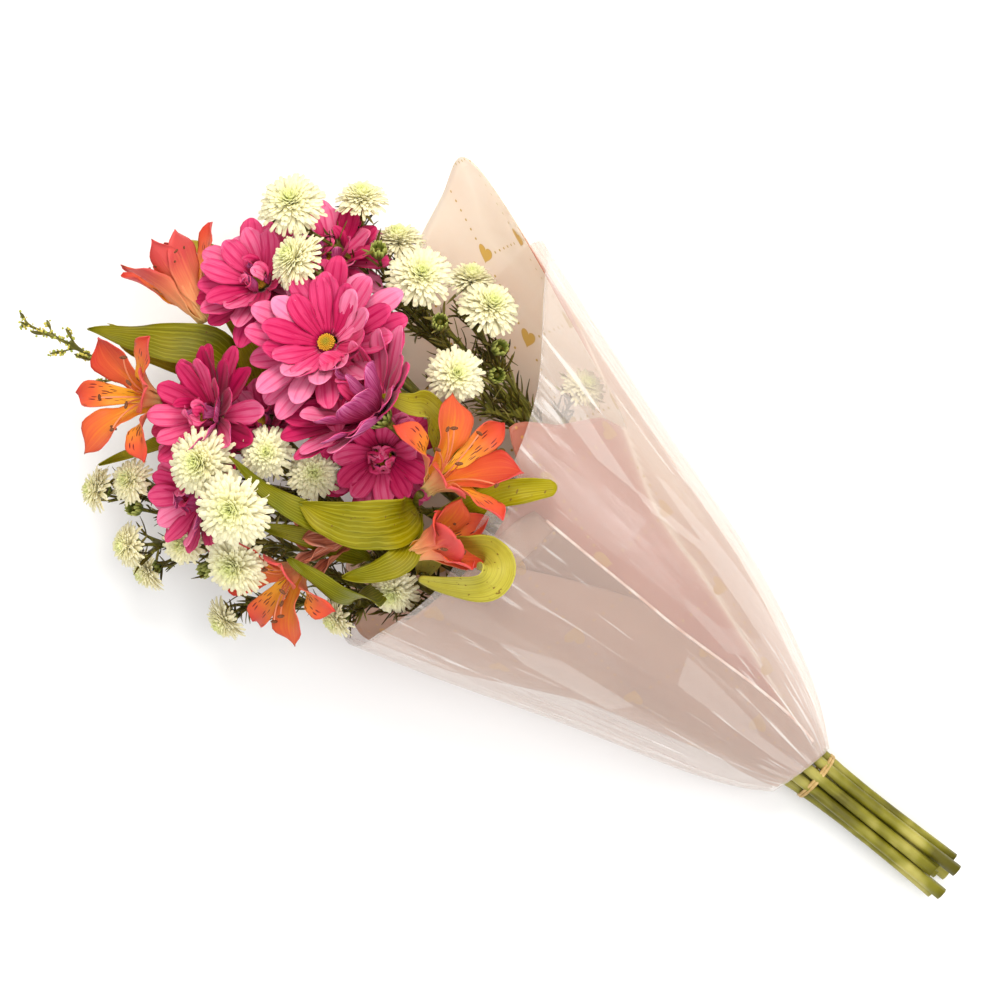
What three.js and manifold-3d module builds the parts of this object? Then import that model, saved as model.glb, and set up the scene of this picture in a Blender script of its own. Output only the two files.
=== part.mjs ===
// A mixed flower bouquet in its wrapper, lying on a table: spray chrysanthemums, alstroemerias, double
// asters and a sprig of goldenrod, wound in a printed film, slipped into a clear conical sleeve, and
// held by an elastic band round the stems.
//
// Millimetres, +Z up. The origin is on the flat underside of the sleeve, on the bouquet's long axis.
// +X runs along the stems to their cut ends, -X to the blooms, and z = 0 is the table.
import * as THREE from "three";
import { mergeVertices } from "three/addons/utils/BufferGeometryUtils.js";
import Module from "manifold-3d";

const wasm = await Module();
wasm.setup();
const { Vector2, Vector3 } = THREE;
const { degToRad, lerp } = THREE.MathUtils;
const vec = (p) => new Vector3(...p);

// ---------------------------------------------------------------- driving dimensions

const CLEARANCE = 0.35; // between two neighbours that touch on the real bouquet
const FILM = 0.7; // wall of both films, thicker than life

// The sleeve is a cone with a flattened underside. It opens quickly at the neck, then evenly.
const NECK_X = 184; // its cut lower edge, on the axis
const NECK_SLANT = 4.5; // by which that edge runs on at +Y and stops short at -Y
const NECK_HALF_WIDTH = 15.1;
const NECK_HEIGHT = 31.2;
const NECK_LENGTH = 30; // over which the neck opens
const NECK_OPENING = 17; // by which the half width and the height grow there
const SPREAD = 0.3; // half width gained for each further millimetre
const RISE = 0.47; // height gained for each further millimetre
const BOW = 4.5; // by which the sleeve's middle stands towards +Y
const BOW_AT = 100; // mm from the neck at which it does most
const ROUND_STEPS = 24; // facets round the cone
const FLAT_STEPS = 2; // facets on each side of the underside that lie flat on the table

// The stems pass the band as one bundle.
const BAND_X = 193;
const BAND_CORD = 0.9; // radius of one turn of the band
const BUNDLE_RADIUS = 12;
const BUNDLE_HEIGHT = 15.6; // of its centre, at the band
const CUT_X = 282; // where the longest stem is cut
const STATION = 10; // spacing of the points at which stems push each other aside

// ---------------------------------------------------------------- solids from rings of points

// The solid inside a closed geometry, its faces turned outwards.
function solidOf(geometry) {
  const bare = new THREE.BufferGeometry();
  bare.setAttribute("position", geometry.getAttribute("position"));
  if (geometry.index) bare.setIndex(geometry.index);
  const merged = mergeVertices(bare, 1e-4);
  const triVerts = new Uint32Array(merged.index.array);
  const vertProperties = merged.attributes.position.array;
  const make = () => new wasm.Manifold(new wasm.Mesh({ numProp: 3, vertProperties, triVerts }));
  const solid = make();
  if (solid.volume() > 0) return solid;
  for (let i = 0; i < triVerts.length; i += 3) {
    [triVerts[i + 1], triVerts[i + 2]] = [triVerts[i + 2], triVerts[i + 1]];
  }
  return make();
}

// One solid of several. A void closed in between crossing leaves is filled.
function fuse(solids) {
  const bodies = wasm.Manifold.union(solids).decompose();
  return wasm.Manifold.compose(bodies.filter((body) => body.volume() > 0));
}

// A closed body through rings of points. `growths` are blades raised from its side facets: each names
// its `band` and `slot`, and its own `rings` of four points run on from the facet's four corners.
// `flips` picks each facet's diagonal, so that the two faces of a thin body are split alike.
const isOdd = (k) => k % 2 === 1;
function loft(rings, growths = [], flips = isOdd) {
  const corners = [];
  const place = (ring) => ring.map((point) => corners.push(point) - 1);
  const index = [];
  const skin = (from, to, facets, isFlipped) => {
    for (const k of facets) {
      const next = (k + 1) % from.length;
      const [a, b, c, d] = [from[k], from[next], to[next], to[k]];
      if (isFlipped(k)) index.push(a, b, d, b, c, d);
      else index.push(a, b, c, a, c, d);
    }
  };
  const cap = (ring) => {
    for (let k = 1; k + 1 < ring.length; k++) index.push(ring[0], ring[k], ring[k + 1]);
  };
  const placed = rings.map(place);
  const count = rings[0].length;
  for (let band = 0; band + 1 < placed.length; band++) {
    const [low, high] = [placed[band], placed[band + 1]];
    const grown = growths.filter((growth) => growth.band === band);
    const isBare = (k) => grown.every((growth) => growth.slot !== k);
    skin(low, high, [...Array(count).keys()].filter(isBare), flips);
    for (const { slot, rings: sections } of grown) {
      const next = (slot + 1) % count;
      let from = [low[slot], low[next], high[next], high[slot]];
      for (const section of sections) {
        const to = place(section);
        skin(from, to, [0, 1, 2, 3], isOdd);
        from = to;
      }
      cap(from);
    }
  }
  cap(placed[0].slice().reverse());
  cap(placed.at(-1));
  return solidOf(new THREE.BufferGeometry().setFromPoints(corners).setIndex(index));
}

// Two directions across an axis, and the spoke that stands at `turn` between them.
function across(axis) {
  const hint = Math.abs(axis.z) < 0.9 ? new Vector3(0, 0, 1) : new Vector3(1, 0, 0);
  const one = new Vector3().crossVectors(axis, hint).normalize();
  return [one, new Vector3().crossVectors(axis, one).normalize()];
}

function spokeOf([one, two], turn) {
  return one.clone().multiplyScalar(Math.cos(turn)).addScaledVector(two, Math.sin(turn));
}

// Rings for a turned body: [radius, height] pairs round `axis`, from `seat` up.
function turnedRings(profile, seat, axis, sides, start = 0) {
  const frame = across(axis);
  return profile.map(([radius, height]) =>
    Array.from({ length: sides }, (_, k) =>
      seat
        .clone()
        .addScaledVector(axis, height)
        .addScaledVector(spokeOf(frame, start + (2 * Math.PI * k) / sides), radius),
    ),
  );
}

// A round stem through `centres`, each with its own radius.
function stemRings(centres, radii, sides) {
  let normal = null;
  return centres.map((centre, i) => {
    const before = centres[Math.max(i - 1, 0)];
    const after = centres[Math.min(i + 1, centres.length - 1)];
    const ahead = after.clone().sub(before).normalize();
    normal = (normal ?? across(ahead)[0]).clone();
    normal.addScaledVector(ahead, -normal.dot(ahead)).normalize();
    const frame = [normal, new Vector3().crossVectors(ahead, normal)];
    return Array.from({ length: sides }, (_, k) =>
      centre.clone().addScaledVector(spokeOf(frame, (2 * Math.PI * k) / sides), radii[i]),
    );
  });
}
const stemAlong = (centres, radii, sides) => loft(stemRings(centres, radii, sides));

// Rings of a blade, petal or leaf: [lower face, right edge, upper face, left edge] at each centre.
// `outline` gives its width along its length and `trough` lifts its edges towards `face`.
function bladeRings(centres, { width, outline, thickness, face, trough = 0, grow = 0 }) {
  return centres.map((centre, i) => {
    const before = centres[Math.max(i - 1, 0)];
    const after = centres[Math.min(i + 1, centres.length - 1)];
    const ahead = after.clone().sub(before).normalize();
    const right = new Vector3().crossVectors(face, ahead).normalize();
    const up = new Vector3().crossVectors(ahead, right).normalize();
    const half = (width / 2) * outline(i / (centres.length - 1));
    const point = (sideways, lift) =>
      centre.clone().addScaledVector(right, sideways).addScaledVector(up, lift);
    const lift = trough * half;
    return [
      point(0, -thickness / 2 - grow),
      point(half + grow, lift),
      point(0, thickness / 2 + grow),
      point(-half - grow, lift),
    ];
  });
}

// Points of an arc that leaves `foot` at `open` radians from `axis` towards `spoke`, and bends until it
// is `close` radians from it.
function arcPoints(foot, spoke, axis, open, close, length, steps) {
  const points = [foot.clone()];
  for (let i = 0; i < steps; i++) {
    const angle = lerp(open, close, (i + 0.5) / steps);
    points.push(
      points[i]
        .clone()
        .addScaledVector(spoke, (Math.sin(angle) * length) / steps)
        .addScaledVector(axis, (Math.cos(angle) * length) / steps),
    );
  }
  return points;
}

const curveThrough = (points) => new THREE.CatmullRomCurve3(points, false, "centripetal");

// A seeded draw between two numbers.
function seeded(seed) {
  let state = seed * 7919;
  return (low, high) => {
    state = (state * 1664525 + 1013904223) % 4294967296;
    return lerp(low, high, state / 4294967296);
  };
}

// ---------------------------------------------------------------- what is already in place

const placed = []; // { name, solid, box }

function boxOf(solid) {
  const { min, max } = solid.boundingBox();
  return new THREE.Box3(vec(min), vec(max));
}

function keep(name, solid) {
  placed.push({ name, solid, box: boxOf(solid) });
  return solid;
}

function crosses(solid, box, other) {
  return box.intersectsBox(other.box) && solid.intersect(other.solid).volume() > 1e-6;
}

function isClear(solid, except) {
  const box = boxOf(solid);
  if (box.min.z <= CLEARANCE) return false;
  return !placed.some((other) => other.name !== except && crosses(solid, box, other));
}

// A piece that would cross another node is bent aside, then made shorter, and left out at worst.
// `make(bend, scale, grow)` gives its rings, and `siblings` are the blades it mustn't cut into.
const BENDS = [0, 9, -9, 18, -18, 27, -27, 38, -38].map(degToRad);
const SCALES = [1, 0.85, 0.7, 0.55];
function bentClear(make, own, siblings = [], scales = SCALES) {
  for (const scale of scales) {
    for (const bend of BENDS) {
      if (!isClear(loft(make(bend, scale, CLEARANCE)), own)) continue;
      const rings = make(bend, scale, 0);
      const solid = loft(rings.slice(1));
      const box = boxOf(solid);
      if (siblings.some((other) => crosses(solid, box, other))) continue;
      siblings.push({ solid, box });
      return rings;
    }
  }
  return null;
}

// ---------------------------------------------------------------- the wrapper

const FLAT_SHARE = 1 - Math.cos((2 * Math.PI * FLAT_STEPS) / ROUND_STEPS);
const SIDE_GAP = 4.5; // by which the printed film stays narrower than the clear sleeve

// Half width, height and middle of the sleeve at x.
function sectionAt(x) {
  const away = Math.max(0, NECK_X + NECK_SLANT - x);
  const opening = NECK_OPENING * (1 - Math.exp(-away / NECK_LENGTH));
  const middle = BOW * Math.exp(-(((away - BOW_AT) / BOW_AT) ** 2) * 2);
  return [NECK_HALF_WIDTH + opening + SPREAD * away, NECK_HEIGHT + opening + RISE * away, middle];
}

// A point of the cone's wall. `turn` is 0 at the top and grows towards -Y, `inset` is the depth below
// the outer face, and `narrower` takes a little more off the sides away from the neck.
function wall(x, turn, inset, narrower = 0) {
  const [halfWidth, height, middle] = sectionAt(x);
  const side = narrower * Math.min(1, (NECK_X - x) / (2 * NECK_LENGTH));
  const halfHeight = height / (2 - FLAT_SHARE);
  const z = halfHeight * (1 - FLAT_SHARE) + (halfHeight - inset) * Math.cos(turn);
  return new Vector3(x, middle - (halfWidth - inset - side) * Math.sin(turn), Math.max(inset, z));
}

// Smooth value through [degrees of turn, value] pairs.
function smooth(pairs) {
  const samples = curveThrough(pairs.map(([turn, value]) => new Vector3(turn, value, 0))).getPoints(200);
  return (turn) => {
    const degrees = THREE.MathUtils.radToDeg(turn);
    const next = samples.findIndex((p) => p.x >= degrees);
    if (next < 1) return next ? samples.at(-1).y : samples[0].y;
    const [p, q] = [samples[next - 1], samples[next]];
    return THREE.MathUtils.mapLinear(degrees, p.x, q.x, p.y, q.y);
  };
}

// The strip of a film at one turn: down its outer face from the neck to the mouth, back up the inner.
const FILM_STEPS = 5;
const isInner = (k) => k > FILM_STEPS; // facets of the strip on its way back
function filmRing(turn, mouth, inset, narrower) {
  const neck = NECK_X - NECK_SLANT * Math.sin(turn);
  const line = (depth) =>
    Array.from({ length: FILM_STEPS + 1 }, (_, i) =>
      wall(lerp(neck, mouth, (i / FILM_STEPS) ** 1.3), turn, depth, narrower),
    );
  return [...line(inset), ...line(inset + FILM).reverse()];
}

const turnsUpTo = (count) => Array.from({ length: count }, (_, i) => (2 * Math.PI * i) / ROUND_STEPS);

// x of the mouth round each film: low at the front, reaching far behind the blooms at the back.
const CLEAR_MOUTH = [
  [0, -28],
  [30, -22],
  [60, -30],
  [90, -38],
  [130, -62],
  [180, -96],
  [230, -102],
  [270, -93],
  [300, -76],
  [330, -44],
  [360, -28],
];
const PRINTED_MOUTH = [
  [0, -14],
  [30, -18],
  [60, -26],
  [90, -34],
  [130, -62],
  [180, -104],
  [225, -140],
  [255, -153],
  [270, -130],
  [285, -76],
  [300, -6],
  [325, -24],
  [345, -44],
  [360, -34],
  [390, -14],
];
const LAP_STEPS = 2; // facets by which the printed film laps under its own front edge
const LAP_DEPTH = 1.3; // how much deeper the lap lies after one turn

// The clear sleeve is one seamless cone, open at both ends.
function clearSleeve() {
  const mouthAt = smooth(CLEAR_MOUTH);
  const turns = turnsUpTo(ROUND_STEPS);
  const rings = turns.map((turn) => filmRing(turn, mouthAt(turn), 0, 0));
  const count = rings[0].length;
  const index = rings.flatMap((_, r) =>
    rings[0].flatMap((_, k) => {
      const next = (r + 1) % rings.length;
      const [a, b] = [r * count + k, r * count + ((k + 1) % count)];
      const [c, d] = [next * count + k, next * count + ((k + 1) % count)];
      return isInner(k) ? [a, b, d, a, d, c] : [a, b, c, b, d, c];
    }),
  );
  return solidOf(new THREE.BufferGeometry().setFromPoints(rings.flat()).setIndex(index));
}

// The printed film is a sheet wound once round the stems, its end lapped under its front edge.
function printedFilm() {
  const mouthAt = smooth(PRINTED_MOUTH);
  const turns = turnsUpTo(ROUND_STEPS + LAP_STEPS + 1);
  const depth = (turn) => FILM + 0.4 + (LAP_DEPTH * turn) / (2 * Math.PI);
  const strips = turns.map((turn) =>
    filmRing(turn, mouthAt(turn), depth(turn), SIDE_GAP * Math.sin(turn) ** 2),
  );
  return loft(strips, [], isInner);
}

// The band is one elastic ring, wound twice round the stems below the sleeve.
function elasticBand() {
  const sides = 16;
  const inner = (BUNDLE_RADIUS + CLEARANCE) / Math.cos(Math.PI / sides);
  const turnOf = (middle) =>
    [-1, 1].map(
      (angle) =>
        new Vector2(inner + BAND_CORD * (1 + Math.cos(angle)), middle + BAND_CORD * Math.sin(angle)),
    );
  const section = [
    new Vector2(inner, -2 * BAND_CORD),
    ...turnOf(-BAND_CORD),
    ...turnOf(BAND_CORD),
    new Vector2(inner, 2 * BAND_CORD),
  ];
  const ring = new THREE.LatheGeometry([...section, section[0].clone()], sides);
  return solidOf(ring.rotateZ(-Math.PI / 2).translate(BAND_X, 0, BUNDLE_HEIGHT));
}

// ---------------------------------------------------------------- stems

// Each stem has a place in the bundle (a turn from +Y towards +Z, and a distance from the middle), and
// a fork, where it splits to carry its heads.
const OUTER = 8.4;
const INNER = 3.1;
const STEMS = {
  aster_spray_right: { turn: 5, out: OUTER + 0.4, radius: 2.7, cut: 276, fork: [-42, 44, 88] },
  chrysanthemum_spray_top: { turn: 50, out: OUTER, radius: 3.3, cut: 280, fork: [-100, 18, 96] },
  alstroemeria_stem_front: { turn: 95, out: OUTER, radius: 3.2, cut: 270, fork: [-30, 2, 104] },
  chrysanthemum_spray_front: { turn: 140, out: OUTER, radius: 3.3, cut: 282, fork: [-60, -10, 100] },
  alstroemeria_stem_low: { turn: 185, out: OUTER, radius: 3.2, cut: 279, fork: [-30, -54, 84] },
  aster_spray_low: { turn: 230, out: OUTER + 0.4, radius: 2.7, cut: 274, fork: [-90, -86, 50] },
  aster_spray_back: { turn: 275, out: OUTER + 0.4, radius: 2.7, cut: 281, fork: [-22, -60, 50] },
  aster_spray_top: { turn: 320, out: OUTER + 0.4, radius: 2.7, cut: 277, fork: [-112, 46, 70] },
  chrysanthemum_spray_left: { turn: 150, out: INNER, radius: 2.1, cut: 268, fork: [-104, -52, 78] },
  alstroemeria_stem_left: { turn: 60, out: INNER, radius: 2.1, cut: 272, fork: [-140, -34, 78] },
  aster_spray_middle: { turn: 240, out: INNER, radius: 2.1, cut: 275, fork: [-84, -60, 80] },
  goldenrod_sprig: { turn: 330, out: INNER, radius: 1.7, cut: 262, fork: [-200, -70, 66] },
};

// ---------------------------------------------------------------- heads

// `at` is where a head sits on its stem, `faces` the way it looks, and `reach` the length of its petals.
// `closed` is how far a bloom's rays still stand up, in degrees.
const CHRYSANTHEMUMS = {
  chrysanthemum_1: {
    at: [-182, 10, 112],
    faces: [-0.5, 0.1, 0.85], reach: 35, rays: 9,
    stem: "chrysanthemum_spray_top",
  },
  chrysanthemum_2: {
    at: [-166, 40, 96],
    faces: [-0.35, 0.5, 0.75], reach: 33, rays: 9,
    stem: "chrysanthemum_spray_top",
  },
  chrysanthemum_3: {
    at: [-136, 8, 138],
    faces: [-0.4, 0.1, 0.9], reach: 43, rays: 11,
    stem: "chrysanthemum_spray_top",
  },
  chrysanthemum_4: {
    at: [-97, -2, 152],
    faces: [-0.8, -0.02, 0.6], reach: 46, rays: 10, closed: 30,
    stem: "chrysanthemum_spray_front",
  },
  chrysanthemum_5: {
    at: [-158, -54, 118],
    faces: [-0.6, -0.3, 0.7], reach: 36, rays: 10,
    stem: "chrysanthemum_spray_left",
  },
  chrysanthemum_6: {
    at: [-140, -88, 90],
    faces: [-0.45, -0.6, 0.6], reach: 33, rays: 9,
    stem: "chrysanthemum_spray_left",
  },
  chrysanthemum_7: {
    at: [-84, -15, 122],
    faces: [0.15, -0.2, 0.96], reach: 33, rays: 10,
    stem: "chrysanthemum_spray_front",
  },
  chrysanthemum_8: {
    at: [-138, -40, 108],
    faces: [-0.55, 0, 0.8], reach: 25, rays: 7,
    stem: "chrysanthemum_spray_left",
  },
};

// `flare` is how far the tepals have opened, in degrees from the flower's axis.
const ALSTROEMERIAS = {
  alstroemeria_1: {
    at: [-190, -24, 98],
    faces: [-0.9, 0.35, 0.15], reach: 50, flare: 40,
    stem: "alstroemeria_stem_left",
  },
  alstroemeria_2: {
    at: [-184, -64, 96],
    faces: [-0.62, -0.4, 0.68], reach: 45, flare: 80,
    stem: "alstroemeria_stem_left",
  },
  alstroemeria_3: {
    at: [-57, -17, 141],
    faces: [0.2, 0.75, 0.62], reach: 50, flare: 72,
    stem: "alstroemeria_stem_front",
  },
  alstroemeria_4: {
    at: [-44, -47, 138],
    faces: [0.36, 0.72, 0.6], reach: 42, flare: 50,
    stem: "alstroemeria_stem_front",
  },
  alstroemeria_5: {
    at: [-78, -78, 104],
    faces: [-0.2, -0.75, 0.55], reach: 44, flare: 80,
    stem: "alstroemeria_stem_low",
  },
  alstroemeria_faded: {
    at: [-68, -52, 116],
    faces: [-0.45, -0.7, 0.5], reach: 32, flare: 22,
    stem: "alstroemeria_stem_low",
  },
};

const ASTERS = {
  aster_1: { at: [-193, 48, 134], faces: [-0.35, 0.25, 0.9], reach: 15, stem: "aster_spray_top" },
  aster_2: { at: [-172, 30, 142], faces: [-0.7, -0.1, 0.6], reach: 14, stem: "aster_spray_top" },
  aster_3: { at: [-172, 72, 100], faces: [-0.45, 0.6, 0.6], reach: 12, stem: "aster_spray_top" },
  aster_4: { at: [-145, 68, 96], faces: [-0.6, 0.6, 0.5], reach: 12, stem: "aster_spray_top" },
  aster_5: { at: [-125, 61, 122], faces: [-0.1, 0.35, 0.9], reach: 15, stem: "aster_spray_right" },
  aster_6: { at: [-90, 71, 112], faces: [-0.1, 0.55, 0.8], reach: 14, stem: "aster_spray_right" },
  aster_7: { at: [-81, 36, 134], faces: [0, 0.2, 0.98], reach: 13, stem: "aster_spray_right" },
  aster_8: { at: [-30, 72, 84], faces: [0, 0.7, 0.7], reach: 11, stem: "aster_spray_right" },
  aster_9: { at: [-146, -73, 134], faces: [-0.3, -0.25, 0.92], reach: 16, stem: "aster_spray_middle" },
  aster_10: { at: [-120, -79, 154], faces: [-0.05, -0.2, 0.98], reach: 17, stem: "aster_spray_middle" },
  aster_11: { at: [-126, -50, 136], faces: [-0.1, 0, 1], reach: 12, stem: "aster_spray_middle" },
  aster_12: { at: [-103, -44, 130], faces: [0, 0.1, 1], reach: 12, stem: "aster_spray_middle" },
  aster_13: { at: [-104, -100, 124], faces: [-0.1, -0.5, 0.85], reach: 15, stem: "aster_spray_middle" },
  aster_14: { at: [-183, -121, 68], faces: [-0.75, -0.5, 0.4], reach: 11, stem: "aster_spray_low" },
  aster_15: { at: [-173, -107, 74], faces: [-0.5, -0.2, 0.8], reach: 11, stem: "aster_spray_low" },
  aster_16: { at: [-154, -133, 58], faces: [-0.6, -0.55, 0.55], reach: 11, stem: "aster_spray_low" },
  aster_17: { at: [-141, -138, 36], faces: [-0.4, -0.8, 0.3], reach: 11, stem: "aster_spray_low" },
  aster_18: { at: [-133, -113, 80], faces: [-0.2, -0.3, 0.9], reach: 11, stem: "aster_spray_low" },
  aster_19: { at: [-94, -131, 46], faces: [-0.2, -0.85, 0.45], reach: 11, stem: "aster_spray_back" },
  aster_20: { at: [-38, -62, 106], faces: [0.1, -0.5, 0.85], reach: 12, stem: "aster_spray_back" },
  aster_21: { at: [-50, -92, 76], faces: [-0.3, -0.8, 0.45], reach: 10, stem: "aster_spray_back" },
  aster_22: { at: [-106, 76, 90], faces: [-0.4, 0.75, 0.5], reach: 12, stem: "aster_spray_right" },
};

// Closed green buds on the aster sprays.
const BUDS = {
  bud_1: { at: [-150, 60, 122], faces: [-0.3, 0.5, 0.8], stem: "aster_spray_top" },
  bud_2: { at: [-104, 52, 128], faces: [-0.1, 0.3, 0.9], stem: "aster_spray_right" },
  bud_3: { at: [-74, 62, 112], faces: [0.2, 0.5, 0.8], stem: "aster_spray_right" },
  bud_4: { at: [-66, 50, 120], faces: [0.3, 0.2, 0.9], stem: "aster_spray_right" },
  bud_5: { at: [-166, -118, 70], faces: [-0.5, -0.3, 0.8], stem: "aster_spray_low" },
  bud_6: { at: [-118, -120, 66], faces: [-0.2, -0.8, 0.5], stem: "aster_spray_low" },
};

// The green cup under each kind of head, and the stalk that carries it.
const CUPS = {
  chrysanthemum: { height: 7, rim: 5.6, stalk: 1.7, sides: 5 },
  alstroemeria: { height: 5, rim: 2.7, stalk: 1.4, sides: 5 },
  aster: { height: 4, rim: 3.6, stalk: 0.95, sides: 4 },
  bud: { height: 6, rim: 3, stalk: 0.8, sides: 4 },
};
const APPROACH = 12; // a stalk comes up straight behind its head over this length

const heads = Object.entries({ ...CHRYSANTHEMUMS, ...ALSTROEMERIAS, ...ASTERS, ...BUDS }).map(
  ([name, head], order) => {
    const kind = name.split("_")[0];
    const faces = vec(head.faces).normalize();
    const at = vec(head.at);
    const foot = at.clone().addScaledVector(faces, -CUPS[kind].height - APPROACH);
    return { ...head, name, kind, faces, at, foot, draw: seeded(order + 3) };
  },
);
const headsOf = (kind) => heads.filter((head) => head.kind === kind);

// ---------------------------------------------------------------- stems push each other aside

// A strand is one stretch of stem, from the band to a fork or from a fork to one head.
function strandBetween(stem, start, end, radius) {
  const stations = [];
  for (let x = Math.floor((start.x - 1) / STATION) * STATION; x > end.x + 1; x -= STATION) {
    stations.push(new Vector3().lerpVectors(start, end, (x - start.x) / (end.x - start.x)));
  }
  return { stem, start, end, radius, stations };
}

const HEAD_CORE = { chrysanthemum: 11, alstroemeria: 7, aster: 13, bud: 4 }; // kept free of other stems

function keepApart(a, b, distance, bMoves) {
  const dy = a.y - b.y || 0.01;
  const dz = a.z - b.z || 0.01;
  const gap = Math.hypot(dy, dz);
  if (gap >= distance) return;
  const shift = (distance - gap) / gap / (bMoves ? 2 : 1);
  a.y += dy * shift;
  a.z += dz * shift;
  if (!bMoves) return;
  b.y -= dy * shift;
  b.z -= dz * shift;
}

// Inside the sleeve a strand keeps this far from its wall.
const WALL_GAP = 4.5;
const INSIDE_UP_TO = -24; // x at which the stems leave the sleeve
function keepInside(p, radius) {
  if (p.x > INSIDE_UP_TO) {
    const [halfWidth, height, middle] = sectionAt(p.x);
    const [spanY, spanZ] = [halfWidth - WALL_GAP - radius, height / 2 - WALL_GAP - radius];
    const reach = Math.hypot((p.y - middle) / spanY, (p.z - height / 2) / spanZ);
    if (reach > 1) {
      p.y = middle + (p.y - middle) / reach;
      p.z = height / 2 + (p.z - height / 2) / reach;
    }
  }
  p.z = Math.max(p.z, 3.2 + radius);
}

function pushAside(moving, still) {
  for (let round = 0; round < 100; round++) {
    for (const strand of moving) {
      for (const p of strand.stations) {
        for (const other of [...moving, ...still]) {
          if (other.stem === strand.stem) continue;
          const q = other.stations.find((station) => Math.abs(station.x - p.x) < 0.5);
          const room = (strand.radius + other.radius) * 1.35 + 0.8;
          if (q) keepApart(p, q, room, moving.includes(other));
        }
        for (const head of heads) {
          const centre = head.at.clone().addScaledVector(head.faces, 4);
          const off = Math.abs(centre.x - p.x);
          const core = HEAD_CORE[head.kind];
          if (strand.head === head || off >= core) continue;
          keepApart(p, centre, Math.sqrt(core ** 2 - off ** 2) + strand.radius, false);
        }
        keepInside(p, strand.radius);
      }
      const line = [strand.start, ...strand.stations, strand.end];
      for (let i = 1; i + 1 < line.length; i++) {
        line[i].y += 0.22 * ((line[i - 1].y + line[i + 1].y) / 2 - line[i].y);
        line[i].z += 0.22 * ((line[i - 1].z + line[i + 1].z) / 2 - line[i].z);
      }
    }
  }
}

const slotOf = ({ turn, out }) =>
  new Vector3(BAND_X, out * Math.cos(degToRad(turn)), BUNDLE_HEIGHT + out * Math.sin(degToRad(turn)));
const everySecond = (points) => points.filter((_, i) => i % 2 === 1);

const mains = Object.entries(STEMS).map(([stem, s]) => strandBetween(stem, slotOf(s), vec(s.fork), s.radius));
pushAside(mains, []);
for (const main of mains) {
  const curve = curveThrough([main.start, ...everySecond(main.stations), main.end]);
  main.centres = curve.getSpacedPoints(Math.max(5, Math.round(curve.getLength() / 40)));
}

// The stalks leave the last stretch of their stem one after another.
const FORK_STEP = 9; // mm between two of them
function forkAt(centres, distance) {
  let left = distance;
  for (let i = centres.length - 1; i > 0; i--) {
    const piece = centres[i].distanceTo(centres[i - 1]);
    if (left <= piece) return centres[i].clone().lerp(centres[i - 1], left / piece);
    left -= piece;
  }
  return centres[0].clone();
}
const stalks = heads.map((head) => {
  const main = mains.find(({ stem }) => stem === head.stem);
  const before = heads.filter(({ stem }) => stem === head.stem).indexOf(head);
  const start = forkAt(main.centres, 1.5 + FORK_STEP * before);
  return { ...strandBetween(head.stem, start, head.foot, CUPS[head.kind].stalk), head };
});
pushAside(stalks, mains);

// Below the band the bundle runs on to the cut ends, fanning out a little and sinking to the table.
const FAN = 0.22; // share by which the bundle has widened at the longest cut end
const DRIFT = 3; // by which it leans to +Y there
const SINK = 1.2; // and to the table
const STEM_SIDES = 6;

function mainStem({ start, centres: above, stem, radius }) {
  const { cut } = STEMS[stem];
  const share = (cut - BAND_X) / (CUT_X - BAND_X);
  const fan = 1 + FAN * share;
  const rise = (start.z - BUNDLE_HEIGHT) * fan;
  const end = new Vector3(cut, start.y * fan + DRIFT * share, BUNDLE_HEIGHT + rise - SINK * share);
  const centres = [end, ...above];
  const taper = centres.map((_, i) => radius * lerp(1.06, 0.72, i / (centres.length - 1)));
  return stemAlong(centres, taper, STEM_SIDES);
}

// A stalk widens into the green cup under its head, or closes over its bud. It sways aside where it
// would cross another stem. Narrow leaves grow from short bands of an aster's stalk.
const SWAYS = [0, 6, 12, 18, 26]; // mm
const TUFTS = { aster: [0.5, 0.78], bud: [0.6] }; // where on the stalk the leaves stand
const TUFT_BAND = 2.6; // mm of stalk from which a tuft of leaves grows

function stalkCentres({ head, stations, start }, sway) {
  const below = (depth) => head.at.clone().addScaledVector(head.faces, -depth);
  const { height } = CUPS[head.kind];
  const curve = curveThrough([start, ...everySecond(stations), head.foot, below(height)]);
  const steps = Math.max(3, Math.round(curve.getLength() / 26));
  const places = Array.from({ length: steps + 1 }, (_, i) => i / steps);
  const tufts = (TUFTS[head.kind] ?? []).map((t) => (Math.floor(t * steps) + 0.5) / steps);
  const half = TUFT_BAND / 2 / curve.getLength();
  for (const t of tufts) places.push(t - half, t + half);
  places.sort((p, q) => p - q);
  const centres = places.map((t) => curve.getPointAt(t).addScaledVector(sway, Math.sin(Math.PI * t)));
  return {
    centres: [...centres, below(height * 0.5), below(CLEARANCE)],
    bands: tufts.map((t) => places.indexOf(t - half)),
    steps: centres.length - 1,
  };
}

function stalkAndCup(strand) {
  const { head, radius, stem } = strand;
  const { rim, sides } = CUPS[head.kind];
  const frame = across(head.at.clone().sub(strand.start).normalize());
  for (const size of SWAYS) {
    for (let turn = 0; turn < 2 * Math.PI; turn += Math.PI / 4) {
      const { centres, bands, steps } = stalkCentres(strand, spokeOf(frame, turn).multiplyScalar(size));
      const radii = centres.map((_, i) => radius * lerp(1.2, 1, i / steps));
      radii.splice(-2, 2, rim, head.kind === "bud" ? rim * 0.4 : rim);
      const swollen = radii.map((r) => r + CLEARANCE);
      if (!isClear(stemAlong(centres, swollen, sides), stem)) continue;
      return { head, centres, radii, sides, bands };
    }
  }
  throw new Error(head.name + " has no way for its stalk");
}

// ---------------------------------------------------------------- blooms raised from a cup

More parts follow.
